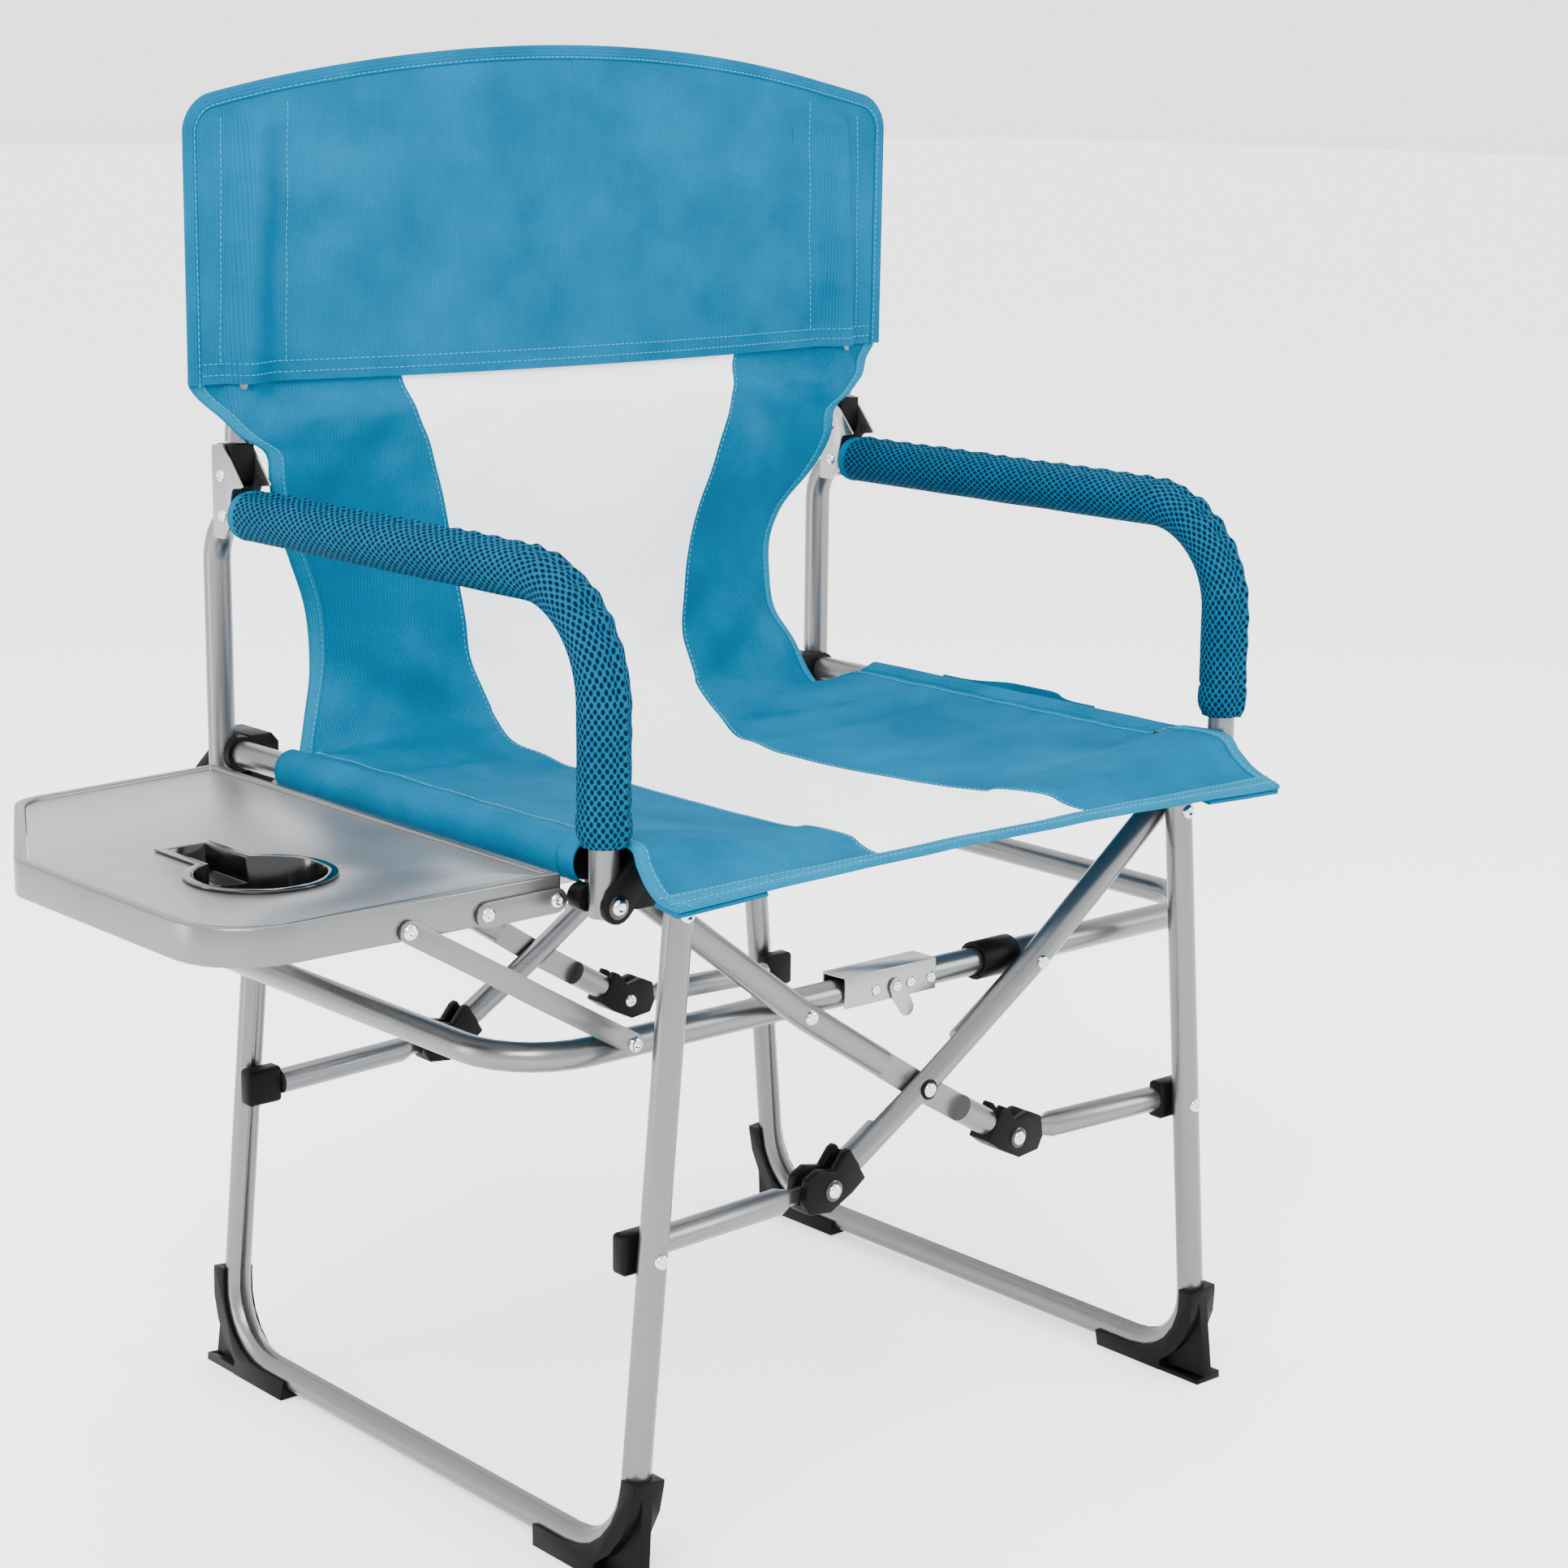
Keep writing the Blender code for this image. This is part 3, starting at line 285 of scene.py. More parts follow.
BLUE = (0.0001, 0.083, 0.168)
PALE_BLUE = (0.0010, 0.125, 0.230)
MATS = {
    "silver_steel": metal("satin_silver", (0.145, 0.147, 0.150), 0.28, 0.90),
    "zinc_plate": metal("zinc_plate", (0.26, 0.26, 0.26), 0.26, 0.95, 0.00003, (1, 1, 0.1)),
    "black_plastic": plastic("black_plastic", (0.0020, 0.0020, 0.0022), 0.42),
    "table_sheet": metal("table_sheet", (0.150, 0.152, 0.152), 0.32, 0.90, 0.00002),
    # Painted light: a lighter copy of the table's sheet metal, for the sky light that the
    # upward-facing top reflects.
    "table_panel_lit": metal("table_panel_lit", (0.265, 0.268, 0.268), 0.34, 0.88, 0.00002),
    "nickel": metal("rivet_nickel", (0.60, 0.60, 0.59), 0.14, 1.0, 0.00001),
    "gloss_black": plastic("gloss_black", (0.0015, 0.0015, 0.0018), 0.12, 0.00001, 0.5),
    "blue": canvas("blue_canvas", BLUE),
    "white": canvas("white_canvas", (0.86, 0.87, 0.89), 0.0017, 0.0011, 0.00010, 0.03, 0.1),
    "hem": canvas("hem_tape", PALE_BLUE, 0.0013, 0.0013, 0.00022, 0.12),
    # The knit's second colour is painted shade for the inside of its holes.
    "knit": knit("blue_mesh", (0.0001, 0.062, 0.125), (0.0001, 0.004, 0.012)),
    "ring": canvas("mesh_binding", (0.0004, 0.095, 0.180), 0.0012, 0.0012, 0.0002, 0.1),
    "webbing": canvas("webbing", (0.0001, 0.075, 0.150), 0.0016, 0.0030, 0.00035, 0.1),
    "thread": plain("thread", (0.004, 0.190, 0.310), 0.6, 0.0, {"Sheen Weight": 0.2}),
}


# ---- CAD nodes that stay: rounded edges, smooth shading and a finished surface ------
def finish_node(name, mat_key, width, segments):
    obj = NODES[name]
    obj.data.materials.clear()
    obj.data.materials.append(MATS[mat_key])
    for face in obj.data.polygons:
        face.material_index = 0
        face.use_smooth = True
    weld = obj.modifiers.new("weld", "WELD")
    weld.merge_threshold = 0.00001
    if width:
        flat = obj.modifiers.new("flat", "DECIMATE")
        flat.decimate_type = "DISSOLVE"
        flat.angle_limit = math.radians(1.0)
        edge = obj.modifiers.new("edge", "BEVEL")
        edge.width = width
        edge.segments = segments
        edge.limit_method = "ANGLE"
        edge.angle_limit = math.radians(35)
        edge.harden_normals = False
    crisp = obj.modifiers.new("crisp", "EDGE_SPLIT")
    crisp.split_angle = math.radians(40)


SMOOTH_TUBES = ("leg_frame_", "cross_tube_", "brace_left", "brace_right", "seat_rail_",
                "arm_tube_", "back_post_", "strut_front", "strut_rear")
# The material, edge width and edge segments of the nodes whose names start so.
FINISHES = [
    ("silver_steel", 0.0, 2, SMOOTH_TUBES),
    ("black_plastic", 0.0010, 2, ("shoe_", "strut_bracket_", "brace_clip_")),
    ("black_plastic", 0.0011, 2, ("corner_fitting_",)),
    ("black_plastic", 0.0012, 2, ("clevis_",)),
    ("black_plastic", 0.0006, 2, ("back_socket_",)),
    ("black_plastic", 0.0008, 2, ("table_block_",)),
    ("zinc_plate", 0.0004, 2, ("knuckle_sleeve_", "latch_lever")),
    ("zinc_plate", 0.0005, 2, ("hinge_bracket_",)),
    ("table_sheet", 0.0006, 2, ("table_arm_", "table_stay_")),
    ("table_sheet", 0.0018, 3, ("table_frame",)),
    # The table's top gets the lighter copy of its metal: painted light.
    ("table_panel_lit", 0.0005, 2, ("table_top",)),
    ("gloss_black", 0.0005, 2, ("cup_holder",)),
]


def finish_nodes():
    for mat_key, width, segments, starts in FINISHES:
        for name in NODES:
            if name.startswith(starts):
                finish_node(name, mat_key, width, segments)


# ---- building blocks ----------------------------------------------------------------
def make_piece(name, mesh, mats, body):
    obj = bpy.data.objects.new(name, mesh)
    bpy.context.scene.collection.objects.link(obj)
    for key in mats:
        mesh.materials.append(MATS[key])
    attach(obj, body)
    return obj


def turned(name, profile, spot, axis, mat_key, body, sides=28):
    """A turned piece: the profile's (radius, height) points spun about the axis at the spot."""
    bm = bmesh.new()
    rings = []
    for radius, height in profile:
        if radius < 1e-6:
            rings.append([bm.verts.new((0, 0, height))])
            continue
        angles = [2 * math.pi * k / sides for k in range(sides)]
        rings.append([bm.verts.new((radius * math.cos(a), radius * math.sin(a), height))
                      for a in angles])
    for low, high in zip(rings, rings[1:]):
        for k in range(sides):
            corner = [low[k % len(low)], low[(k + 1) % len(low)],
                      high[(k + 1) % len(high)], high[k % len(high)]]
            face = list(dict.fromkeys(corner))
            if len(face) > 2:
                bm.faces.new(face).smooth = True
    bmesh.ops.recalc_face_normals(bm, faces=bm.faces)
    turn = Vector((0, 0, 1)).rotation_difference(Vector(axis)).to_matrix().to_4x4()
    bmesh.ops.transform(bm, matrix=Matrix.Translation(spot) @ turn, verts=bm.verts)
    mesh = bpy.data.meshes.new(name)
    bm.to_mesh(mesh)
    bm.free()
    mesh.set_sharp_from_angle(angle=math.radians(50))
    return make_piece(name, mesh, [mat_key], body)


def rivet(name, spot, axis, body, size=0.0052):
    """Domed head with a recessed middle, standing on its washer."""
    k = size / 0.0052
    head = [(0, 0.0009 * k), (0.0011 * k, 0.0008 * k), (0.0016 * k, 0.0014 * k),
            (0.0022 * k, 0.0021 * k), (0.0030 * k, 0.0022 * k), (0.0040 * k, 0.0018 * k),
            (0.0048 * k, 0.0010 * k), (0.0052 * k, 0.0), (0.0052 * k, -0.0008), (0, -0.0008)]
    return turned(name, head, spot, axis, "nickel", body)


def washer(name, spot, axis, body, radius, thick, mat_key="black_plastic"):
    ring = [(0, thick), (radius - 0.0005, thick), (radius, thick - 0.0004), (radius, -0.0006),
            (0, -0.0006)]
    return turned(name, ring, spot, axis, mat_key, body)


def rounded_path(corners, radii, step=math.radians(4)):
    """The corner points joined by straight runs, with an arc of the given radius at each."""
    corners = [Vector(c) for c in corners]
    path = [corners[0]]
    for before, corner, after, radius in zip(corners, corners[1:], corners[2:], radii):
        to_before = (before - corner).normalized()
        to_after = (after - corner).normalized()
        half = to_before.angle(to_after) / 2
        start = corner + to_before * radius / math.tan(half)
        centre = corner + (to_before + to_after).normalized() * radius / math.sin(half)
        turn = math.pi - 2 * half
        normal = to_before.cross(to_after).normalized()
        count = max(2, round(turn / step))
        for i in range(count + 1):
            spin = Matrix.Rotation(-turn * i / count, 3, normal)
            path.append(centre + spin @ (start - centre))
    path.append(corners[-1])
    return path


def resample(path, step):
    """Points an even step apart along a path, and their distances from its start."""
    pts = np.array([tuple(p) for p in path], float)
    along = distances(pts)
    count = max(2, int(round(along[-1] / step)) + 1)
    marks = np.linspace(0, along[-1], count)
    spots = np.stack([np.interp(marks, along, pts[:, k]) for k in range(3)], 1)
    return spots, marks


def distances(pts):
    """How far along a line each of its points lies."""
    return np.concatenate([[0], np.cumsum(np.linalg.norm(np.diff(pts, axis=0), axis=1))])


def unit(v):
    return v / np.maximum(np.linalg.norm(v, axis=-1, keepdims=True), 1e-12)


def wobble(x, y, z=0.0):
    """Smooth repeatable noise, about -1 to 1."""
    return noise.noise(Vector((x, y, z)))


# ---- rivets -------------------------------------------------------------------------
def post_x(side, z):
    return side * (PIVOT[0] + math.tan(SPLAY) * (PIVOT[1] - z))


def make_rivets():
    face = POST_Y + TUBE_R - 0.0002
    layer_face = LAYER_Y + TUBE_R
    for side_name, side in SIDES.items():
        for end_name, end in ENDS.items():
            tag = "%s_%s" % (end_name, side_name)
            out = (0, end, 0)
            back = (0, -end, 0)
            legs, top = "legs_" + side_name, "top_" + side_name
            rivet("rivet_post_" + tag, (side * PIVOT[0], end * face, PIVOT[1]), out, legs)
            rivet("rivet_strut_" + tag, (post_x(side, STRUT_POST_Z), end * face, STRUT_POST_Z),
                  out, legs)
            low = (-side * LOW_END[0], LOW_END[1])
            reach = layer_face + 0.0006
            inner = LAYER_Y - TUBE_R - 0.0006
            washer("washer_clevis_" + tag, (low[0], end * reach, low[1]), out, top, 0.0072, 0.0009,
                   "gloss_black")
            rivet("rivet_clevis_" + tag, (low[0], end * (reach + 0.0009), low[1]), out, top)
            rivet("rivet_clevis_in_" + tag, (low[0], end * inner, low[1]), back, top)
            rivet("rivet_brace_" + tag, (side * BRACE_PIVOT[0], end * layer_face, BRACE_PIVOT[1]),
                  out, top, 0.0050)
            lobe = {-1: 0.2398, 1: 0.2280}[end]
            washer("washer_arm_" + tag, (side * ARM_PIVOT[0], end * lobe, ARM_PIVOT[1]), out, top,
                   0.0074, 0.0008, "gloss_black")
            rivet("rivet_arm_" + tag, (side * ARM_PIVOT[0], end * (lobe + 0.0008), ARM_PIVOT[1]),
                  out, top)
        for k, (y, z) in enumerate([BACK_PIVOT, (0.1775, 0.6330)]):
            for way in (-1, 1):
                x = side * ARM_X + way * 0.0116
                rivet("rivet_hinge_%s_%d_%d" % (side_name, k, way + 1), (x, y, z), (way, 0, 0),
                      "arm_" + side_name, 0.0046)
    for end_name, end in ENDS.items():
        out = (0, end, 0)
        washer("washer_crossing_" + end_name, (0, end * layer_face, CROSS_Z), out, "top_right",
               0.0070, 0.0007)
        rivet("rivet_crossing_" + end_name, (0, end * (layer_face + 0.0007), CROSS_Z), out,
              "top_right")
        knuckle = end * (BRACE_Y + TUBE_R + 0.0003 + 0.0015)
        for k, x in enumerate((-0.0300, -0.0130, 0.0015, 0.0200)):
            if end < 0 and k == 1:
                knuckle_here = knuckle + end * 0.0021
            else:
                knuckle_here = knuckle
            rivet("rivet_knuckle_%s_%d" % (end_name, k), (x, knuckle_here, 0.3390), out,
                  "brace_left", 0.0040)
        edge = {-1: 0.2050, 1: 0.1895}[end] + 0.0028
        for k, (x, z) in enumerate([(-0.3482, 0.4441), (-0.2975, 0.4447)]):
            rivet("rivet_table_%s_%d" % (end_name, k), (x, end * edge, z), out, "table", 0.0048)
        stay_top = {-1: 0.2068, 1: 0.1925}[end] + 0.00125
        stay_low = {-1: 0.2020, 1: 0.2018}[end] + 0.00125
        rivet("rivet_stay_top_" + end_name, (-0.4036, end * stay_top, 0.4430), out,
              "table_stays", 0.0052)
        rivet("rivet_stay_low_" + end_name, (-0.2340, end * stay_low, 0.3415), out,
              "table_stays", 0.0052)


# ---- arm pads: knitted sleeves ------------------------------------------------------
AROUND = 56                        # points round a sleeve
PAD_STEP = 0.0024                  # and the distance between its rings


def sleeve_grid(path, radius_at, step):
    """Rings of points round a path; radius_at(angle, distance) gives their radius."""
    spots, marks = resample(path, step)
    ahead = unit(np.gradient(spots, axis=0))
    side = np.tile(np.array([1.0, 0, 0]), (len(spots), 1))
    up = unit(np.cross(side, ahead))
    grid = np.zeros((len(spots), AROUND, 3))
    for i, (spot, mark) in enumerate(zip(spots, marks)):
        for k in range(AROUND):
            angle = 2 * math.pi * k / AROUND
            radius = radius_at(angle, mark)
            grid[i, k] = spot + radius * (math.cos(angle) * side[i] + math.sin(angle) * up[i])
    return grid, marks


def tube_mesh(name, grid, marks, thick):
    """A closed wall from rings of points: outer skin, inner skin and both rims."""
    rows, cols = grid.shape[:2]
    centre = grid.mean(axis=1, keepdims=True)
    inner = grid - unit(grid - centre) * thick
    verts = np.concatenate([grid.reshape(-1, 3), inner.reshape(-1, 3)])
    faces, uvs = [], []
    girth = 2 * math.pi * PAD_R
    shift = rows * cols
    for i in range(rows - 1):
        for k in range(cols):
            n = (k + 1) % cols
            a, b, c, d = i * cols + k, i * cols + n, (i + 1) * cols + n, (i + 1) * cols + k
            u0, u1 = girth * k / cols, girth * (k + 1) / cols
            around = [(u0, marks[i]), (u1, marks[i]), (u1, marks[i + 1]), (u0, marks[i + 1])]
            faces.append((a, b, c, d))
            uvs.extend(around)
            faces.append((shift + d, shift + c, shift + b, shift + a))
            uvs.extend(reversed(around))
    for i in (0, rows - 1):
        for k in range(cols):
            n = (k + 1) % cols
            ring = (i * cols + k, i * cols + n, shift + i * cols + n, shift + i * cols + k)
            faces.append(ring if i else ring[::-1])
            uvs.extend([(0, 0), (0.002, 0), (0.002, 0.002), (0, 0.002)])
    return mesh_from(name, verts, faces, uvs)


def mesh_from(name, verts, faces, uvs, outward=True):
    mesh = bpy.data.meshes.new(name)
    mesh.from_pydata([tuple(v) for v in verts], [], faces)
    layer = mesh.uv_layers.new(name="cloth")
    layer.data.foreach_set("uv", np.array(uvs, float).ravel())
    mesh.polygons.foreach_set("use_smooth", [True] * len(faces))
    if outward:
        bm = bmesh.new()
        bm.from_mesh(mesh)
        bmesh.ops.recalc_face_normals(bm, faces=bm.faces)
        bm.to_mesh(mesh)
        bm.free()
    mesh.update()
    return mesh


def loft(name, ring, marks, spans):
    """A closed section swept along a line and capped; spans are its sides' places in the map."""
    rows, cols = ring.shape[:2]
    faces, uvs = [], []
    for i in range(rows - 1):
        for k, (u0, u1) in enumerate(spans):
            m = (k + 1) % cols
            faces.append((i * cols + k, i * cols + m, (i + 1) * cols + m, (i + 1) * cols + k))
            uvs.extend([(u0, marks[i]), (u1, marks[i]), (u1, marks[i + 1]), (u0, marks[i + 1])])
    for i in (0, rows - 1):
        cap = range(cols) if i else range(cols - 1, -1, -1)
        faces.append(tuple(i * cols + k for k in cap))
        uvs.extend([(0.0, 0.0)] * cols)
    mesh = mesh_from(name, ring.reshape(-1, 3), faces, uvs)
    mesh.set_sharp_from_angle(angle=math.radians(60))
    return mesh


def two_skins(top, low, uv, region=None, rim_mapped=True):
    """Vertices, faces, map and material numbers of a sheet between two grids of points."""
    rows, cols = top.shape[:2]
    count = rows * cols
    if region is None:
        region = np.zeros((rows - 1, cols - 1), int)
    faces, uvs, index = [], [], []
    for i in range(rows - 1):
        for k in range(cols - 1):
            a, b = i * cols + k, i * cols + k + 1
            c, d = b + cols, a + cols
            square = [uv[i, k], uv[i, k + 1], uv[i + 1, k + 1], uv[i + 1, k]]
            faces.append((a, b, c, d))
            uvs.extend(square)
            faces.append((count + d, count + c, count + b, count + a))
            uvs.extend(square[::-1])
            index.extend([region[i, k]] * 2)
    border = ([(0, k, 0, k + 1) for k in range(cols - 1)]
              + [(i, cols - 1, i + 1, cols - 1) for i in range(rows - 1)]
              + [(rows - 1, k + 1, rows - 1, k) for k in range(cols - 2, -1, -1)]
              + [(i + 1, 0, i, 0) for i in range(rows - 2, -1, -1)])
    for i, k, j, m in border:
        a, b = i * cols + k, j * cols + m
        faces.append((b, a, count + a, count + b))
        rim = [uv[j, m], uv[i, k], uv[i, k], uv[j, m]]
        uvs.extend(rim if rim_mapped else [(0, 0)] * 4)
        index.append(region[min(i, j, rows - 2), min(k, m, cols - 2)])
    return np.concatenate([top.reshape(-1, 3), low.reshape(-1, 3)]), faces, uvs, index


def make_pad(side_name, side):
    x = side * ARM_X
    corners = [(x, ARM_FRONT_Y, PAD_FRONT_Z[side_name] + 0.0006), (x, ARM_FRONT_Y, ARM_TOP_Z),
               (x, PAD_REAR_Y, ARM_TOP_Z)]
    path = rounded_path(corners, [ARM_FRONT_BEND])
    bend_from = ARM_TOP_Z - ARM_FRONT_BEND - PAD_FRONT_Z[side_name]
    bend_to = bend_from + ARM_FRONT_BEND * math.pi / 2
    middle = (bend_from + bend_to) / 2
    total = bend_to + (PAD_REAR_Y - ARM_FRONT_Y - ARM_FRONT_BEND)

    def radius_at(angle, mark):
        # angle 90 deg faces the inside of the bend: under the arm and behind the front post
        inside = max(0.0, math.sin(angle)) ** 2
        in_bend = math.exp(-((mark - middle) / 0.050) ** 2)
        radius = PAD_R * (1.0 + 0.022 * wobble(2.2 * math.cos(angle), 2.2 * math.sin(angle),
                                               mark * 22 + side))
        radius -= 0.0016 * inside * in_bend * (1 + math.cos(2 * math.pi * mark / 0.0155))
        ripple = math.sin(2 * math.pi * mark / 0.021 + 2.5 * wobble(mark * 30, side, 4.0))
        radius += 0.0006 * inside * ripple
        off_seam = (math.degrees(angle) - 78 + 180) % 360 - 180
        radius += 0.0018 * math.exp(-(off_seam / 7.0) ** 2) * (1 - 0.4 * in_bend)
        radius -= 0.0009 * math.exp(-((off_seam - 16) / 7.0) ** 2)
        for end_mark in (0.0, total):
            radius -= 0.0030 * math.exp(-(abs(mark - end_mark) / 0.0045) ** 2)
        radius -= 0.0009 * math.exp(-((mark - 0.0215) / 0.0015) ** 2)
        radius += 0.0006 * math.exp(-((mark - 0.0130) / 0.0060) ** 2)
        return radius

    grid, marks = sleeve_grid(path, radius_at, PAD_STEP)
    mesh = tube_mesh("arm_sleeve_" + side_name, grid, marks, 0.0030)
    pad = make_piece("arm_sleeve_" + side_name, mesh, ["knit"], "arm_" + side_name)
    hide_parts("arm_pad_" + side_name)
    spots = resample(path, PAD_STEP)[0]
    ahead = Vector(spots[-1] - spots[-2]).normalized()
    rim = [(0.0109, 0.0006), (0.0150, 0.0008), (0.0166, -0.0010), (0.0170, -0.0035),
           (0.0168, -0.0072), (0.0160, -0.0085), (0.0109, -0.0085)]
    turned("arm_sleeve_%s_back_binding" % side_name, rim + rim[:1], Vector(spots[-1]), ahead,
           "ring", "arm_" + side_name, 40)


# ---- cover: one sling of seat and back, and the band over the back posts ------------
# Rows from the front hem, over the seat and up the back to the band's seam.
# Each row: the middle's y and z, the side edge's x, y and z, the white panel's half width,
# and how late the cloth rises toward the side.
ROWS = [
    (-0.2860, 0.4545, 0.2680, -0.2865, 0.4500, 0.0940, 2.0),
    (-0.2730, 0.4540, 0.2712, -0.2725, 0.4525, 0.0930, 2.0),
    (-0.2610, 0.4535, 0.2700, -0.2595, 0.4590, 0.0915, 1.8),
    (-0.2500, 0.4530, 0.2680, -0.2485, 0.4690, 0.0900, 1.5),
    (-0.2380, 0.4522, 0.2662, -0.2395, 0.4785, 0.0885, 1.2),
    (-0.2100, 0.4505, 0.2660, -0.2100, 0.4795, 0.0860, 1.15),
    (-0.1920, 0.4495, 0.2620, -0.1920, 0.4785, 0.0845, 1.25),
    (-0.1780, 0.4485, 0.2535, -0.1780, 0.4738, 0.0835, 1.5),
    (-0.1000, 0.4455, 0.2535, -0.1000, 0.4728, 0.0775, 1.75),
    (0.0000, 0.4445, 0.2535, 0.0000, 0.4728, 0.0730, 1.75),
    (0.0700, 0.4490, 0.2535, 0.0850, 0.4728, 0.0790, 1.75),
    (0.1080, 0.4600, 0.2535, 0.1300, 0.4715, 0.0920, 1.9),
    (0.1350, 0.4830, 0.2440, 0.1520, 0.4590, 0.0935, 2.1),
    (0.1490, 0.5080, 0.2390, 0.1640, 0.4600, 0.0960, 2.3),
    (0.1555, 0.5300, 0.2270, 0.1745, 0.4880, 0.0985, 2.35),
    (0.1560, 0.5550, 0.2140, 0.1865, 0.5200, 0.1010, 2.35),
    (0.1535, 0.5850, 0.2125, 0.1935, 0.5600, 0.1065, 2.35),
    (0.1505, 0.6150, 0.2240, 0.1935, 0.5950, 0.1140, 2.35),
    (0.1493, 0.6400, 0.2440, 0.1790, 0.6260, 0.1220, 2.35),
    (0.1490, 0.6600, 0.2540, 0.1690, 0.6530, 0.1290, 2.35),
    (0.1491, 0.6750, 0.2575, 0.1680, 0.6740, 0.1345, 2.35),
    (0.1494, 0.6880, 0.2770, 0.1685, 0.6870, 0.1395, 2.35),
    (0.1500, 0.7040, 0.2950, 0.1715, 0.7050, 0.1450, 2.35),
    (0.1522, 0.7200, 0.3080, 0.1775, 0.7200, 0.1500, 2.35),
    (0.1535, 0.7300, 0.3085, 0.1785, 0.7300, 0.1530, 2.35),
]
CLOTH = 0.0013
PANEL_COLUMNS = 22
SIDE_COLUMNS = 40
TUCK_FROM, TUCK_RISE = 0.6960, 0.0200   # the height where the back cloth goes behind the band
TUCK_GAP = 0.0032                        # how far behind the band's front cloth it lies


def spline(values, count):
    """Catmull-Rom curve through rows of numbers, evenly spaced along the first two."""
    v = np.array(values, float)
    pad = np.vstack([2 * v[0] - v[1], v, 2 * v[-1] - v[-2]])
    fine = []
    for i in range(len(v) - 1):
        p0, p1, p2, p3 = pad[i:i + 4]
        for t in np.linspace(0, 1, 24, endpoint=False):
            fine.append(0.5 * (2 * p1 + (p2 - p0) * t + (2 * p0 - 5 * p1 + 4 * p2 - p3) * t ** 2
                               + (3 * p1 - p0 - 3 * p2 + p3) * t ** 3))
    fine.append(v[-1])
    fine = np.array(fine)
    gaps = np.linalg.norm(np.diff(fine[:, :2], axis=0), axis=1)
    gaps = gaps + np.linalg.norm(np.diff(fine[:, 2:5], axis=0), axis=1)
    along = np.concatenate([[0], np.cumsum(gaps)])
    marks = np.linspace(0, along[-1], count)
    return np.stack([np.interp(marks, along, fine[:, k]) for k in range(v.shape[1])], 1)


def grid_normals(points):
    rows = np.gradient(points, axis=0)
    cols = np.gradient(points, axis=1)
    return unit(np.cross(cols, rows))


def sling_relief(x, y, z, s, edge, back):
    """How far the cloth stands off its smooth surface at a point, along its normal."""
    near = 1 - min(abs(x) / edge, 1.0)
    pull = math.exp(-near * edge / 0.055)
    lift = 0.0011 * wobble(x * 9, s * 7, 1.3) + 0.0006 * wobble(x * 23, s * 19, 5.1)
    ripple = math.sin(2 * math.pi * s / 0.047 + 3.0 * wobble(s * 9, x * 14, 2.2))
    lift += 0.0011 * pull * ripple
    if back < 0.5:
        front = math.exp(-((y + 0.215) / 0.045) ** 2)
        fan = math.sin(46 * x + 60 * (y + 0.286) + 2 * wobble(x * 8, y * 8, 7))
        lift += 0.0016 * front * pull * fan
        slack = math.exp(-((y - 0.070) / 0.050) ** 2) * min(1.0, abs(x) / 0.14)
        lift += 0.0022 * slack * math.sin(2 * math.pi * (y + 0.35 * abs(x)) / 0.055)
    else:
        waist = math.exp(-((z - 0.500) / 0.055) ** 2) * min(1.0, abs(x) / 0.12)
        lift += 0.0028 * waist * math.sin(2 * math.pi * (z - 0.55 * abs(x)) / 0.060)
        upper = math.exp(-((z - 0.690) / 0.040) ** 2) * min(1.0, abs(x) / 0.18)
        lift += 0.0016 * upper * math.sin(2 * math.pi * (z + 0.8 * abs(x)) / 0.052 + 1.1)
    return lift


def sling_points():
    rows = spline(ROWS, 216)
    middle = rows[:, :2]
    along = distances(middle)
    half = PANEL_COLUMNS + SIDE_COLUMNS
    points = np.zeros((len(rows), 2 * half + 1, 3))
    for i, (yc, zc, xe, ye, ze, panel, power) in enumerate(rows):
        for c in range(-half, half + 1):
            k = abs(c)
            if k <= PANEL_COLUMNS:
                x = panel * k / PANEL_COLUMNS
            else:
                x = panel + (xe - panel) * (k - PANEL_COLUMNS) / SIDE_COLUMNS
            f = (x / xe) ** power
            y, z = yc + (ye - yc) * f, zc + (ze - zc) * f
            if i > len(rows) / 2:
                tuck = min(max((z - TUCK_FROM) / TUCK_RISE, 0.0), 1.0)
                y += tuck ** 2 * (3 - 2 * tuck) * max(0.0, band_y(x, z, True) + TUCK_GAP - y)
            points[i, c + half] = (x if c > 0 else -x, y, z)
    normals = grid_normals(points)
    for i, row in enumerate(rows):
        back = min(max((row[1] - 0.455) / 0.06, 0.0), 1.0) if row[0] > 0.05 else 0.0
        for c in range(points.shape[1]):
            x, y, z = points[i, c]
            lift = sling_relief(x, y, z, along[i], row[2], back)
            calm = min(1.0, 0.25 + 2.5 * (1 - abs(x) / row[2]))
            if z > TUCK_FROM:
                calm *= max(0.15, 1 - (z - TUCK_FROM) / TUCK_RISE)
            points[i, c] += normals[i, c] * lift * calm
    return points, along, rows


def half_sheet(name, points, normals, thick, uv, regions, mats, body, side):
    """One side's half of a full grid, given thickness; both halves share their middle column."""
    cols = points.shape[1]
    mid = cols // 2
    pick = slice(mid, cols) if side > 0 else slice(0, mid + 1)
    p, n, t, tex = points[:, pick], normals[:, pick], thick[:, pick], uv[:, pick]
    region = regions[:, mid:] if side > 0 else regions[:, :mid]
    skin = n * t[..., None] / 2
    verts, faces, uvs, index = two_skins(p + skin, p - skin, tex, region)
    mesh = mesh_from(name, verts, faces, uvs, outward=False)
    mesh.polygons.foreach_set("material_index", [int(r) for r in index])
    facing = np.concatenate([n.reshape(-1, 3), -n.reshape(-1, 3)])
    mesh.normals_split_custom_set_from_vertices([tuple(v) for v in facing])
    return make_piece(name, mesh, mats, body)


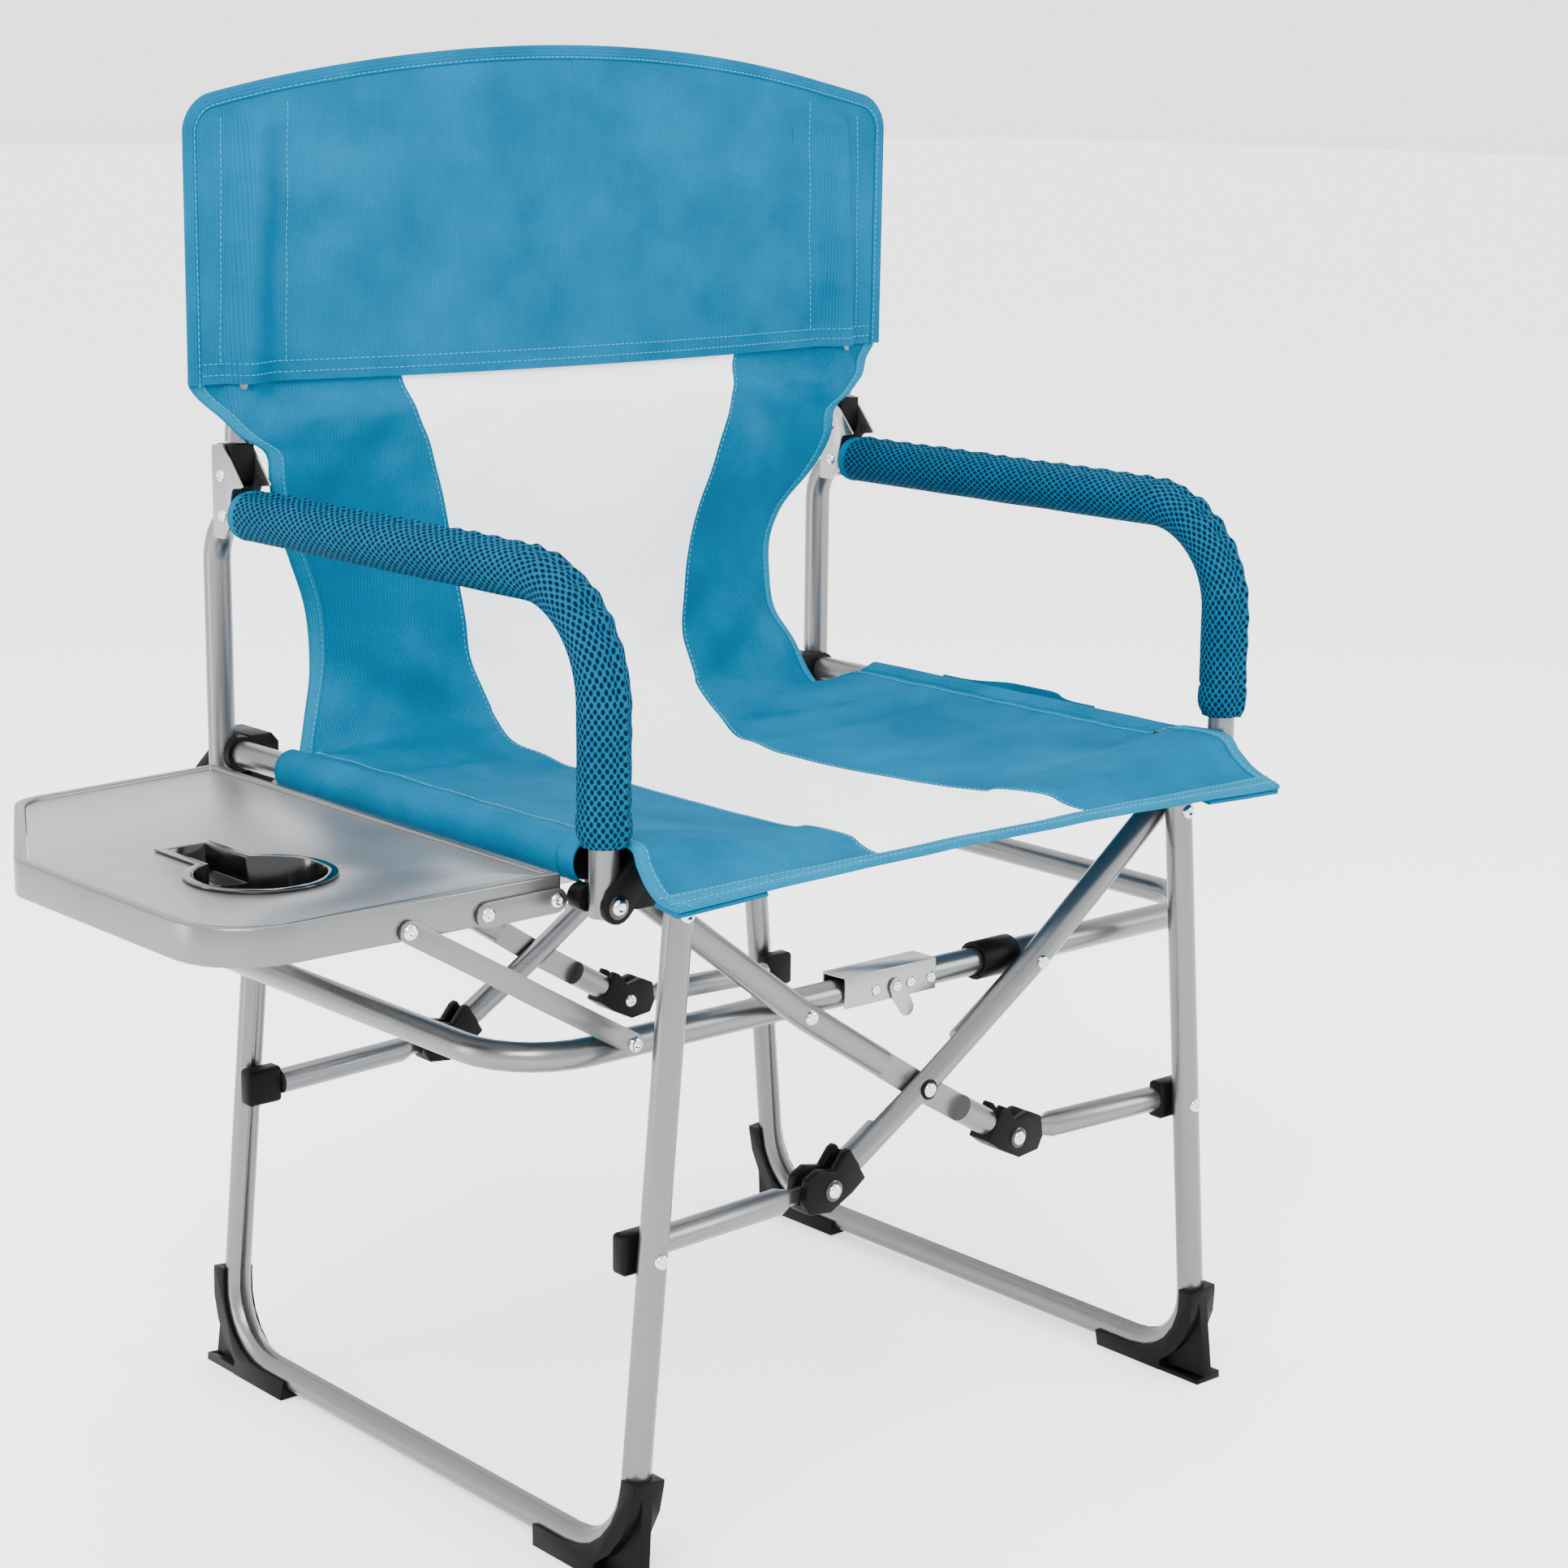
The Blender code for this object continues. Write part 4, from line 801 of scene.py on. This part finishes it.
class Stitches:
    """Short thread stitches gathered along lines, made into one piece."""

    def __init__(self):
        self.verts, self.faces = [], []

    def line(self, points, normals, pitch=0.0043, length=0.0032, radius=0.00038):
        spots, marks = resample(points, pitch)
        source = distances(points)
        normals = np.broadcast_to(normals, np.shape(points))
        up = unit(np.stack([np.interp(marks, source, normals[:, k]) for k in range(3)], 1))
        ahead = unit(np.gradient(spots, axis=0))
        for spot, normal, along in zip(spots, up, ahead):
            across = np.cross(normal, along)
            base = len(self.verts)
            for share, rise, size in ((-0.5, -0.0003, 0.6), (-0.3, 0.0002, 1.0),
                                      (0.3, 0.0002, 1.0), (0.5, -0.0003, 0.6)):
                for k in range(5):
                    angle = 2 * math.pi * k / 5
                    self.verts.append(spot + along * share * length + normal * rise
                                      + radius * size * (math.cos(angle) * across
                                                         + math.sin(angle) * normal))
            for ring in range(3):
                for k in range(5):
                    a = base + ring * 5 + k
                    b = base + ring * 5 + (k + 1) % 5
                    self.faces.append((b, a, a + 5, b + 5))
            self.faces.append(tuple(base + k for k in range(5)))
            self.faces.append(tuple(base + 15 + k for k in range(4, -1, -1)))

    def piece(self, name, body, mat_key="thread"):
        uvs = [(0.0, 0.0)] * sum(len(f) for f in self.faces)
        mesh = mesh_from(name, self.verts, self.faces, uvs, outward=False)
        return make_piece(name, mesh, [mat_key], body)


def edge_tape(name, edge, inner, edge_normals, inner_normals, body, mat_key="hem", lift=0.0005):
    """Binding folded over a cloth edge, from the inner line round the edge and back."""
    out = unit(edge - inner)
    skin = CLOTH / 2 + lift
    section = [inner + inner_normals * skin * 0.7, inner - out * -0.0006 + inner_normals * skin,
               (edge + inner) / 2 + unit(edge_normals + inner_normals) * (skin + 0.0001),
               edge - out * 0.0010 + edge_normals * (skin + 0.0003),
               edge + out * 0.0006 + edge_normals * skin * 0.8, edge + out * 0.0012,
               edge + out * 0.0006 - edge_normals * skin * 0.8,
               edge - out * 0.0010 - edge_normals * (skin + 0.0003),
               (edge + inner) / 2 - unit(edge_normals + inner_normals) * (skin + 0.0001),
               inner + out * 0.0006 - inner_normals * skin, inner - inner_normals * skin * 0.7]
    ring = np.stack(section, 1)
    along = distances(edge)
    spans = [(0.003 * k, 0.003 * (k + 1)) for k in range(ring.shape[1])]
    return make_piece(name, loft(name, ring, along, spans), [mat_key], body)


def fold_away(obj):
    """Gives the cloth piece a mesh of its own."""
    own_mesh(obj)


def area_of(points, rows, side):
    p = points[rows]
    mid = p.shape[1] // 2
    p = p[:, mid:] if side > 0 else p[:, :mid + 1]
    a = np.cross(p[1:, :-1] - p[:-1, :-1], p[:-1, 1:] - p[:-1, :-1])
    return float(np.linalg.norm(a, axis=-1).sum())


def make_sling():
    points, along, rows = sling_points()
    normals = grid_normals(points)
    half = PANEL_COLUMNS + SIDE_COLUMNS
    count_rows, cols = points.shape[:2]
    thick = np.full((count_rows, cols), CLOTH)
    seam = np.abs(np.abs(np.arange(cols) - half) - PANEL_COLUMNS)
    thick[:, seam == 1] += 0.0003
    thick[:, seam == 0] += 0.0006
    uv = np.zeros((count_rows, cols, 2))
    uv[..., 0] = points[..., 0]
    uv[..., 1] = along[:, None]
    columns = np.abs(np.arange(cols - 1) + 0.5 - half)
    regions = np.tile((columns < PANEL_COLUMNS).astype(int), (count_rows - 1, 1))
    crease = int(np.argmax(rows[:, 1] > 0.4600))
    parts = {"seat": (slice(0, crease + 1), "top_"), "back": (slice(crease, count_rows), "arm_")}
    for part, (span, body) in parts.items():
        for side_name, side in SIDES.items():
            name = "%s_sling_%s" % (part, side_name)
            face_rows = slice(span.start, span.stop - 1)
            obj = half_sheet(name, points[span], normals[span], thick[span], uv[span],
                             regions[face_rows], ["blue", "white"], body + side_name, side)
            extras = sling_trim(part, span, points, normals, rows, side_name, side, body)
            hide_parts({"seat": "seat_cover_", "back": "back_cover_"}[part] + side_name)
            fold_away(obj)
            for extra in extras:
                if not extra.name.startswith("rail_sleeve"):
                    fold_away(extra)


def edge_lines(points, normals, span, side, width):
    """The side edge, a line inside it by the width, and their normals, over some rows."""
    cols = points.shape[1]
    last = cols - 1 if side > 0 else 0
    edge, edge_n = points[span, last], normals[span, last]
    inner, inner_n = [], []
    for i in range(span.start, span.stop):
        line = points[i] if side > 0 else points[i, ::-1]
        norm = normals[i] if side > 0 else normals[i, ::-1]
        gaps = np.linalg.norm(line - line[-1], axis=1)
        inner.append([np.interp(-width, -gaps, line[:, k]) for k in range(3)])
        inner_n.append([np.interp(-width, -gaps, norm[:, k]) for k in range(3)])
    return edge, np.array(inner), edge_n, unit(np.array(inner_n))


ROLLED_HEM = 0.0010         # how far the front hems stand off the cloth
UNDER_HEM_X = 0.1950       # the folded under-layer of the front hem starts here


def sling_trim(part, span, points, normals, rows, side_name, side, body):
    """Hems, rail sleeve, panel seams and stitching on one half."""
    half = PANEL_COLUMNS + SIDE_COLUMNS
    body_name = body + side_name
    tag = "%s_%s" % (part, side_name)
    stitches = Stitches()
    pieces = []
    seam_col = half + side * PANEL_COLUMNS
    seam, seam_n = points[span, seam_col], normals[span, seam_col]
    outward = unit(points[span, seam_col + side] - seam)
    stitches.line(seam + outward * 0.0028 + seam_n * CLOTH * 0.6, seam_n)
    if part == "seat":
        sleeve_start = int(np.argmax(rows[:, 0] > -0.2040))
        flap = slice(0, sleeve_start + 2)
        edge, inner, edge_n, inner_n = edge_lines(points, normals, flap, side, 0.010)
        pieces.append(edge_tape("hem_flap_" + side_name, edge, inner, edge_n, inner_n, body_name,
                                lift=ROLLED_HEM))
        lift = CLOTH / 2 + ROLLED_HEM + 0.0001
        line = edge + (inner - edge) * 0.75
        stitches.line(line + edge_n * lift, edge_n)
        mid = points.shape[1] // 2
        cols = slice(mid, None) if side > 0 else slice(0, mid + 1)
        front, front_n = points[0, cols], normals[0, cols]
        depth = int(np.argmax(rows[:, 0] > rows[0, 0] + 0.0145))
        back, back_n = points[depth, cols], normals[depth, cols]
        pieces.append(edge_tape("hem_front_" + side_name, front, back, front_n, back_n, body_name,
                                lift=ROLLED_HEM))
        for share in (0.30, 0.80):
            line = front + (back - front) * share
            norm = unit(front_n + (back_n - front_n) * share)
            stitches.line(line + norm * lift, norm)
        reach = np.abs(front[:, 0]) > UNDER_HEM_X
        drop = np.array([0, 0.0012, -0.0036])
        pieces.append(edge_tape("hem_under_" + side_name, front[reach] + drop,
                                back[reach] + drop, front_n[reach], back_n[reach], body_name,
                                "blue", 0.0009))
        pieces.append(rail_sleeve(side_name, side, points, normals, rows, stitches))
    else:
        edge, inner, edge_n, inner_n = edge_lines(points, normals, span, side, 0.011)
        pieces.append(edge_tape("hem_back_" + side_name, edge, inner, edge_n, inner_n, body_name))
        line = edge + (inner - edge) * 0.78
        stitches.line(line + edge_n * (CLOTH / 2 + 0.0006), edge_n)
    pieces.append(stitches.piece("stitches_" + tag, body_name))
    return pieces


CREST = 98                 # degrees round the rail where the sleeve starts
RAIL_FROM_Y = -0.1860      # ahead of this the sleeve is cut short
PAST_CREST_X = 0.2655      # an edge further out than this already lies past the crest


def rail_sleeve(side_name, side, points, normals, rows, stitches):
    """The cloth carried over the rail and back under the seat, sewn to itself."""
    cols = points.shape[1]
    last = cols - 1 if side > 0 else 0
    start = int(np.argmax(rows[:, 0] > SLEEVE_Y[0]))
    stop = int(np.argmax(rows[:, 3] > SLEEVE_Y[1]))
    grid = []
    for i in range(start, stop):
        y = rows[i, 3]
        edge = points[i, last]
        radius = SLEEVE_R + 0.0005 * wobble(y * 26, 3.0, side)
        ring = [edge]
        ahead_of_rail = y < RAIL_FROM_Y
        turn_back = -62 if ahead_of_rail else -170
        start_angle = math.radians(CREST)
        crest = np.array([side * (RAIL[0] + radius * math.cos(start_angle)), y,
                          RAIL[1] + radius * math.sin(start_angle)])
        if abs(edge[0]) > PAST_CREST_X:
            crest = edge + np.array([side * 0.0010, 0, 0.0])
        for share in (0.35, 0.7):
            ring.append(edge + share * (crest - edge))
        for degrees in np.linspace(CREST, turn_back, 30):
            a = math.radians(degrees)
            slack = 0.0009 * max(0.0, -math.sin(a)) * (1 + wobble(y * 34, 1.0, side))
            r = radius + slack
            ring.append(np.array([side * (RAIL[0] + r * math.cos(a)), y,
                                  RAIL[1] + r * math.sin(a)]))
        if ahead_of_rail:
            for _ in range(2):
                ring.append(ring[-1] + np.array([-side * 0.0008, 0, -0.0004]))
        else:
            ring.append(np.array([side * 0.2460, y, 0.4660]))
            ring.append(np.array([side * 0.2380, y, 0.4645]))
        grid.append(ring)
    grid = np.array(grid)
    if side < 0:
        grid = grid[:, ::-1]
    skin = grid_normals(grid) * CLOTH / 2
    uv = np.zeros((*grid.shape[:2], 2))
    uv[..., 0] = 0.003 * np.arange(grid.shape[1])
    uv[..., 1] = grid[:, 1:2, 1]
    name = "rail_sleeve_" + side_name
    mesh = mesh_from(name, *two_skins(grid + skin, grid - skin, uv, rim_mapped=False)[:3])
    obj = make_piece(name, mesh, ["blue"], "top_" + side_name)
    line = points[start:stop, last] + normals[start:stop, last] * (CLOTH * 0.6)
    inward = np.tile(np.array([-side * 0.006, 0, -0.0006]), (len(line), 1))
    stitches.line(line + inward, normals[start:stop, last])
    return obj


HANDLE_WIDTH = 0.0230
HANDLE_THICK = 0.0018


def make_handle():
    """Webbing carrying handle, sewn at both ends to the outside of the right rail's sleeve."""
    x = RAIL[0] + SLEEVE_R + 0.0016
    ends = (-0.0950, 0.0650)
    bow = 0.0170
    path = [(x, ends[0], 0), (x, ends[0] + 0.030, 0), (x + bow, ends[0] + 0.055, 0),
            (x + bow, ends[1] - 0.055, 0), (x, ends[1] - 0.030, 0), (x, ends[1], 0)]
    spots, marks = resample(rounded_path(path, [0.045, 0.030, 0.030, 0.045]), 0.002)
    ahead = unit(np.gradient(spots, axis=0))
    out = unit(np.cross(np.array([0, 0, -1.0]), ahead))
    half, skin = HANDLE_WIDTH / 2, HANDLE_THICK / 2
    section = [(-half, -skin * 0.5), (-half + 0.0006, -skin), (half - 0.0006, -skin),
               (half, -skin * 0.5), (half, skin * 0.5), (half - 0.0006, skin),
               (-half + 0.0006, skin), (-half, skin * 0.5)]
    ring = np.stack([spots + out * o + np.array([0, 0, RAIL[1] + w]) for w, o in section], 1)
    spans = [(section[k][0], section[(k + 1) % len(section)][0]) for k in range(len(section))]
    mesh = loft("carry_handle", ring, marks, spans)
    handle = make_piece("carry_handle", mesh, ["webbing"], "top_right")
    stitches = Stitches()
    near, far, share = 0.003, 0.023, 0.38
    for end, way in ((ends[0], 1), (ends[1], -1)):
        box = [[(near, w), ((near + far) / 2, w), (far, w)] for w in (-share, share)]
        box += [[(reach, -share), (reach, 0), (reach, share)] for reach in (near, far)]
        for run in box:
            line = np.array([(x + skin, end + way * reach, RAIL[1] + w * HANDLE_WIDTH)
                             for reach, w in run])
            stitches.line(line, (1.0, 0, 0))
    seams = stitches.piece("stitches_handle", "top_right")


# ---- band ---------------------------------------------------------------------------
BAND_EDGE = 0.3107         # x of the band's side edges
CORNER = 0.0200            # radius of its top corners


def band_top(x):
    """Height of the band's top edge: one shallow arch with round corners."""
    x = abs(x)
    crown = 0.9450 - 0.40 * x ** 2
    over = max(0.0, x - (BAND_EDGE - CORNER))
    return crown - (CORNER - math.sqrt(max(CORNER ** 2 - over ** 2, 0.0)))


def post_centre(z):
    share = (z - POST_LOW[1]) / (POST_HIGH[1] - POST_LOW[1])
    return POST_LOW[0] + (POST_HIGH[0] - POST_LOW[0]) * share


def band_columns():
    """Column positions from the middle out, closer together at the post and the corner."""
    inner = list(np.linspace(0, 0.235, 48))
    outer = list(np.linspace(0.238, BAND_EDGE - CORNER, 26))
    round_off = [BAND_EDGE - CORNER + CORNER * math.sin(math.radians(a)) for a in range(6, 91, 6)]
    return inner + outer + round_off


def band_y(x, z, front):
    """Depth of the band's front or rear cloth: flat in the middle, round over the post."""
    rise = (z - BAND_LOW_Z) / 0.22
    side = 0.1765 - 0.002 * rise
    middle = 0.1510 + 0.0090 * rise
    share = min(abs(x) / 0.2450, 1.0)
    plane = middle + (side - middle) * share ** 2.1
    off = abs(x) - post_centre(z)
    off /= 0.0300 if off < 0 else 0.0150
    bulge = 0.0122 * (0.5 + 0.5 * math.cos(math.pi * off)) if abs(off) < 1 else 0.0
    above = max(0.0, (z - POST_HIGH[1] - 0.004) / 0.015)
    bulge *= max(0.0, 1 - above)
    return plane - bulge if front else plane + bulge + 0.0016


def band_relief(x, z):
    lift = 0.0012 * wobble(x * 8, z * 9, 11.0) + 0.0006 * wobble(x * 21, z * 24, 3.0)
    low = math.exp(-((z - 0.745) / 0.030) ** 2)
    lift += 0.0013 * low * math.sin(2 * math.pi * (abs(x) + 0.4 * z) / 0.085)
    edge = math.exp(-((abs(x) - 0.215) / 0.030) ** 2)
    drift = 2 * wobble(z * 9, x)
    lift += 0.0011 * edge * math.sin(2 * math.pi * (z + 0.3 * abs(x)) / 0.060 + drift)
    return lift


def make_band():
    half = band_columns()
    xs = np.array([-x for x in half[:0:-1]] + half)
    rows = 56
    points = np.zeros((rows, len(xs), 3))
    for i, t in enumerate(np.linspace(0, 1, rows)):
        for k, x in enumerate(xs):
            z = BAND_LOW_Z + t * (band_top(x) - BAND_LOW_Z)
            calm = min(1.0, 6 * t, 6 * (1 - t)) * min(1.0, (BAND_EDGE - abs(x)) / 0.03)
            y = band_y(x, z, True) - band_relief(x, z) * calm
            points[i, k] = (x, y, z)
    normals = grid_normals(points)
    thick = np.full(points.shape[:2], CLOTH)
    uv = points[..., [0, 2]].copy()
    regions = np.zeros((rows - 1, len(xs) - 1), int)
    for side_name, side in SIDES.items():
        obj = half_sheet("band_" + side_name, points, normals, thick, uv, regions, ["blue"],
                         "back_" + side_name, side)
        extras = band_trim(points, xs, side_name, side)
        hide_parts("back_band_" + side_name)
        area = area_of(points, slice(0, rows), side)
        for piece in [obj, *extras]:
            if not piece.name.startswith("post_sleeve"):
                fold_away(piece)


def band_spot(points, xs, x, z):
    """The point on the band's front face at x and z."""
    share = (z - BAND_LOW_Z) / (band_top(x) - BAND_LOW_Z) * (len(points) - 1)
    row = min(int(share), len(points) - 2)
    low, high = (np.interp(x, xs, points[r, :, 1]) for r in (row, row + 1))
    return (x, low + (high - low) * (share - row) - CLOTH * 0.55, z)


def band_trim(points, xs, side_name, side):
    """Binding round the band, the rear cloth of its post sleeve, and its stitching."""
    body = "back_" + side_name
    stitches = Stitches()
    mid = len(xs) // 2
    cols = range(mid, len(xs)) if side > 0 else range(mid, -1, -1)
    pieces = []
    outer = len(xs) - 1 if side > 0 else 0
    border = [points[i, outer] for i in range(points.shape[0])]
    border += [points[-1, k] for k in list(cols)[:-1][::-1]]
    border = resample(border, 0.004)[0]
    border_n = np.tile(np.array([0, -1.0, 0]), (len(border), 1))
    ahead = unit(np.gradient(border, axis=0))
    inward = unit(np.cross(border_n, ahead)) * -side
    centre = np.array([side * 0.1, 0.165, 0.82])
    if np.einsum("ij,ij->i", inward, centre - border).mean() < 0:
        inward = -inward
    inner = border + inward * 0.0088
    inner[:, 1] = [band_spot(points, xs, x, z)[1] + CLOTH * 0.55 for x, _, z in inner]
    pieces.append(edge_tape("hem_band_" + side_name, border, inner, border_n, border_n, body,
                            "blue", 0.0007))
    line = border + (inner - border) * 0.8 + border_n * (CLOTH / 2 + 0.0009)
    stitches.line(line, border_n)
    low_z = BAND_LOW_Z + 0.0060
    for z in (low_z, low_z + 0.0075):
        seam = np.array([band_spot(points, xs, side * x, z)
                         for x in np.linspace(0.001, BAND_EDGE - 0.012, 90)])
        stitches.line(seam, (0, -1.0, 0))
    for low_x, high_x, high_z in ((0.2375, 0.2325, 0.9050), (0.2870, 0.2830, 0.8950)):
        seam = []
        for z in np.linspace(BAND_LOW_Z + 0.016, high_z, 60):
            x = low_x + (high_x - low_x) * (z - BAND_LOW_Z) / (high_z - BAND_LOW_Z)
            seam.append(band_spot(points, xs, side * x, z))
        stitches.line(np.array(seam), (0, -1.0, 0))
    pieces.append(post_sleeve(side_name, side))
    pieces.append(stitches.piece("stitches_band_" + side_name, body))
    return pieces


def post_sleeve(side_name, side):
    """Rear cloth that closes the sleeve behind the post."""
    xs = np.linspace(0.2150, BAND_EDGE - 0.004, 30)
    zs = np.linspace(BAND_LOW_Z + 0.002, 0.9040, 40)
    grid = np.array([[(side * x, band_y(x, z, False), min(z, band_top(x) - 0.006)) for x in xs]
                     for z in zs])
    skin = np.tile(np.array([0, CLOTH / 2, 0]), (*grid.shape[:2], 1))
    name = "post_sleeve_" + side_name
    mesh = mesh_from(name, *two_skins(grid + skin, grid - skin, grid[..., [0, 2]],
                                      rim_mapped=False)[:3])
    return make_piece(name, mesh, ["blue"], "back_" + side_name)


# ---- assembly -----------------------------------------------------------------------
make_camera()
make_studio()
finish_nodes()
make_rivets()
for side_name, side in SIDES.items():
    make_pad(side_name, side)
make_sling()
make_band()
make_handle()
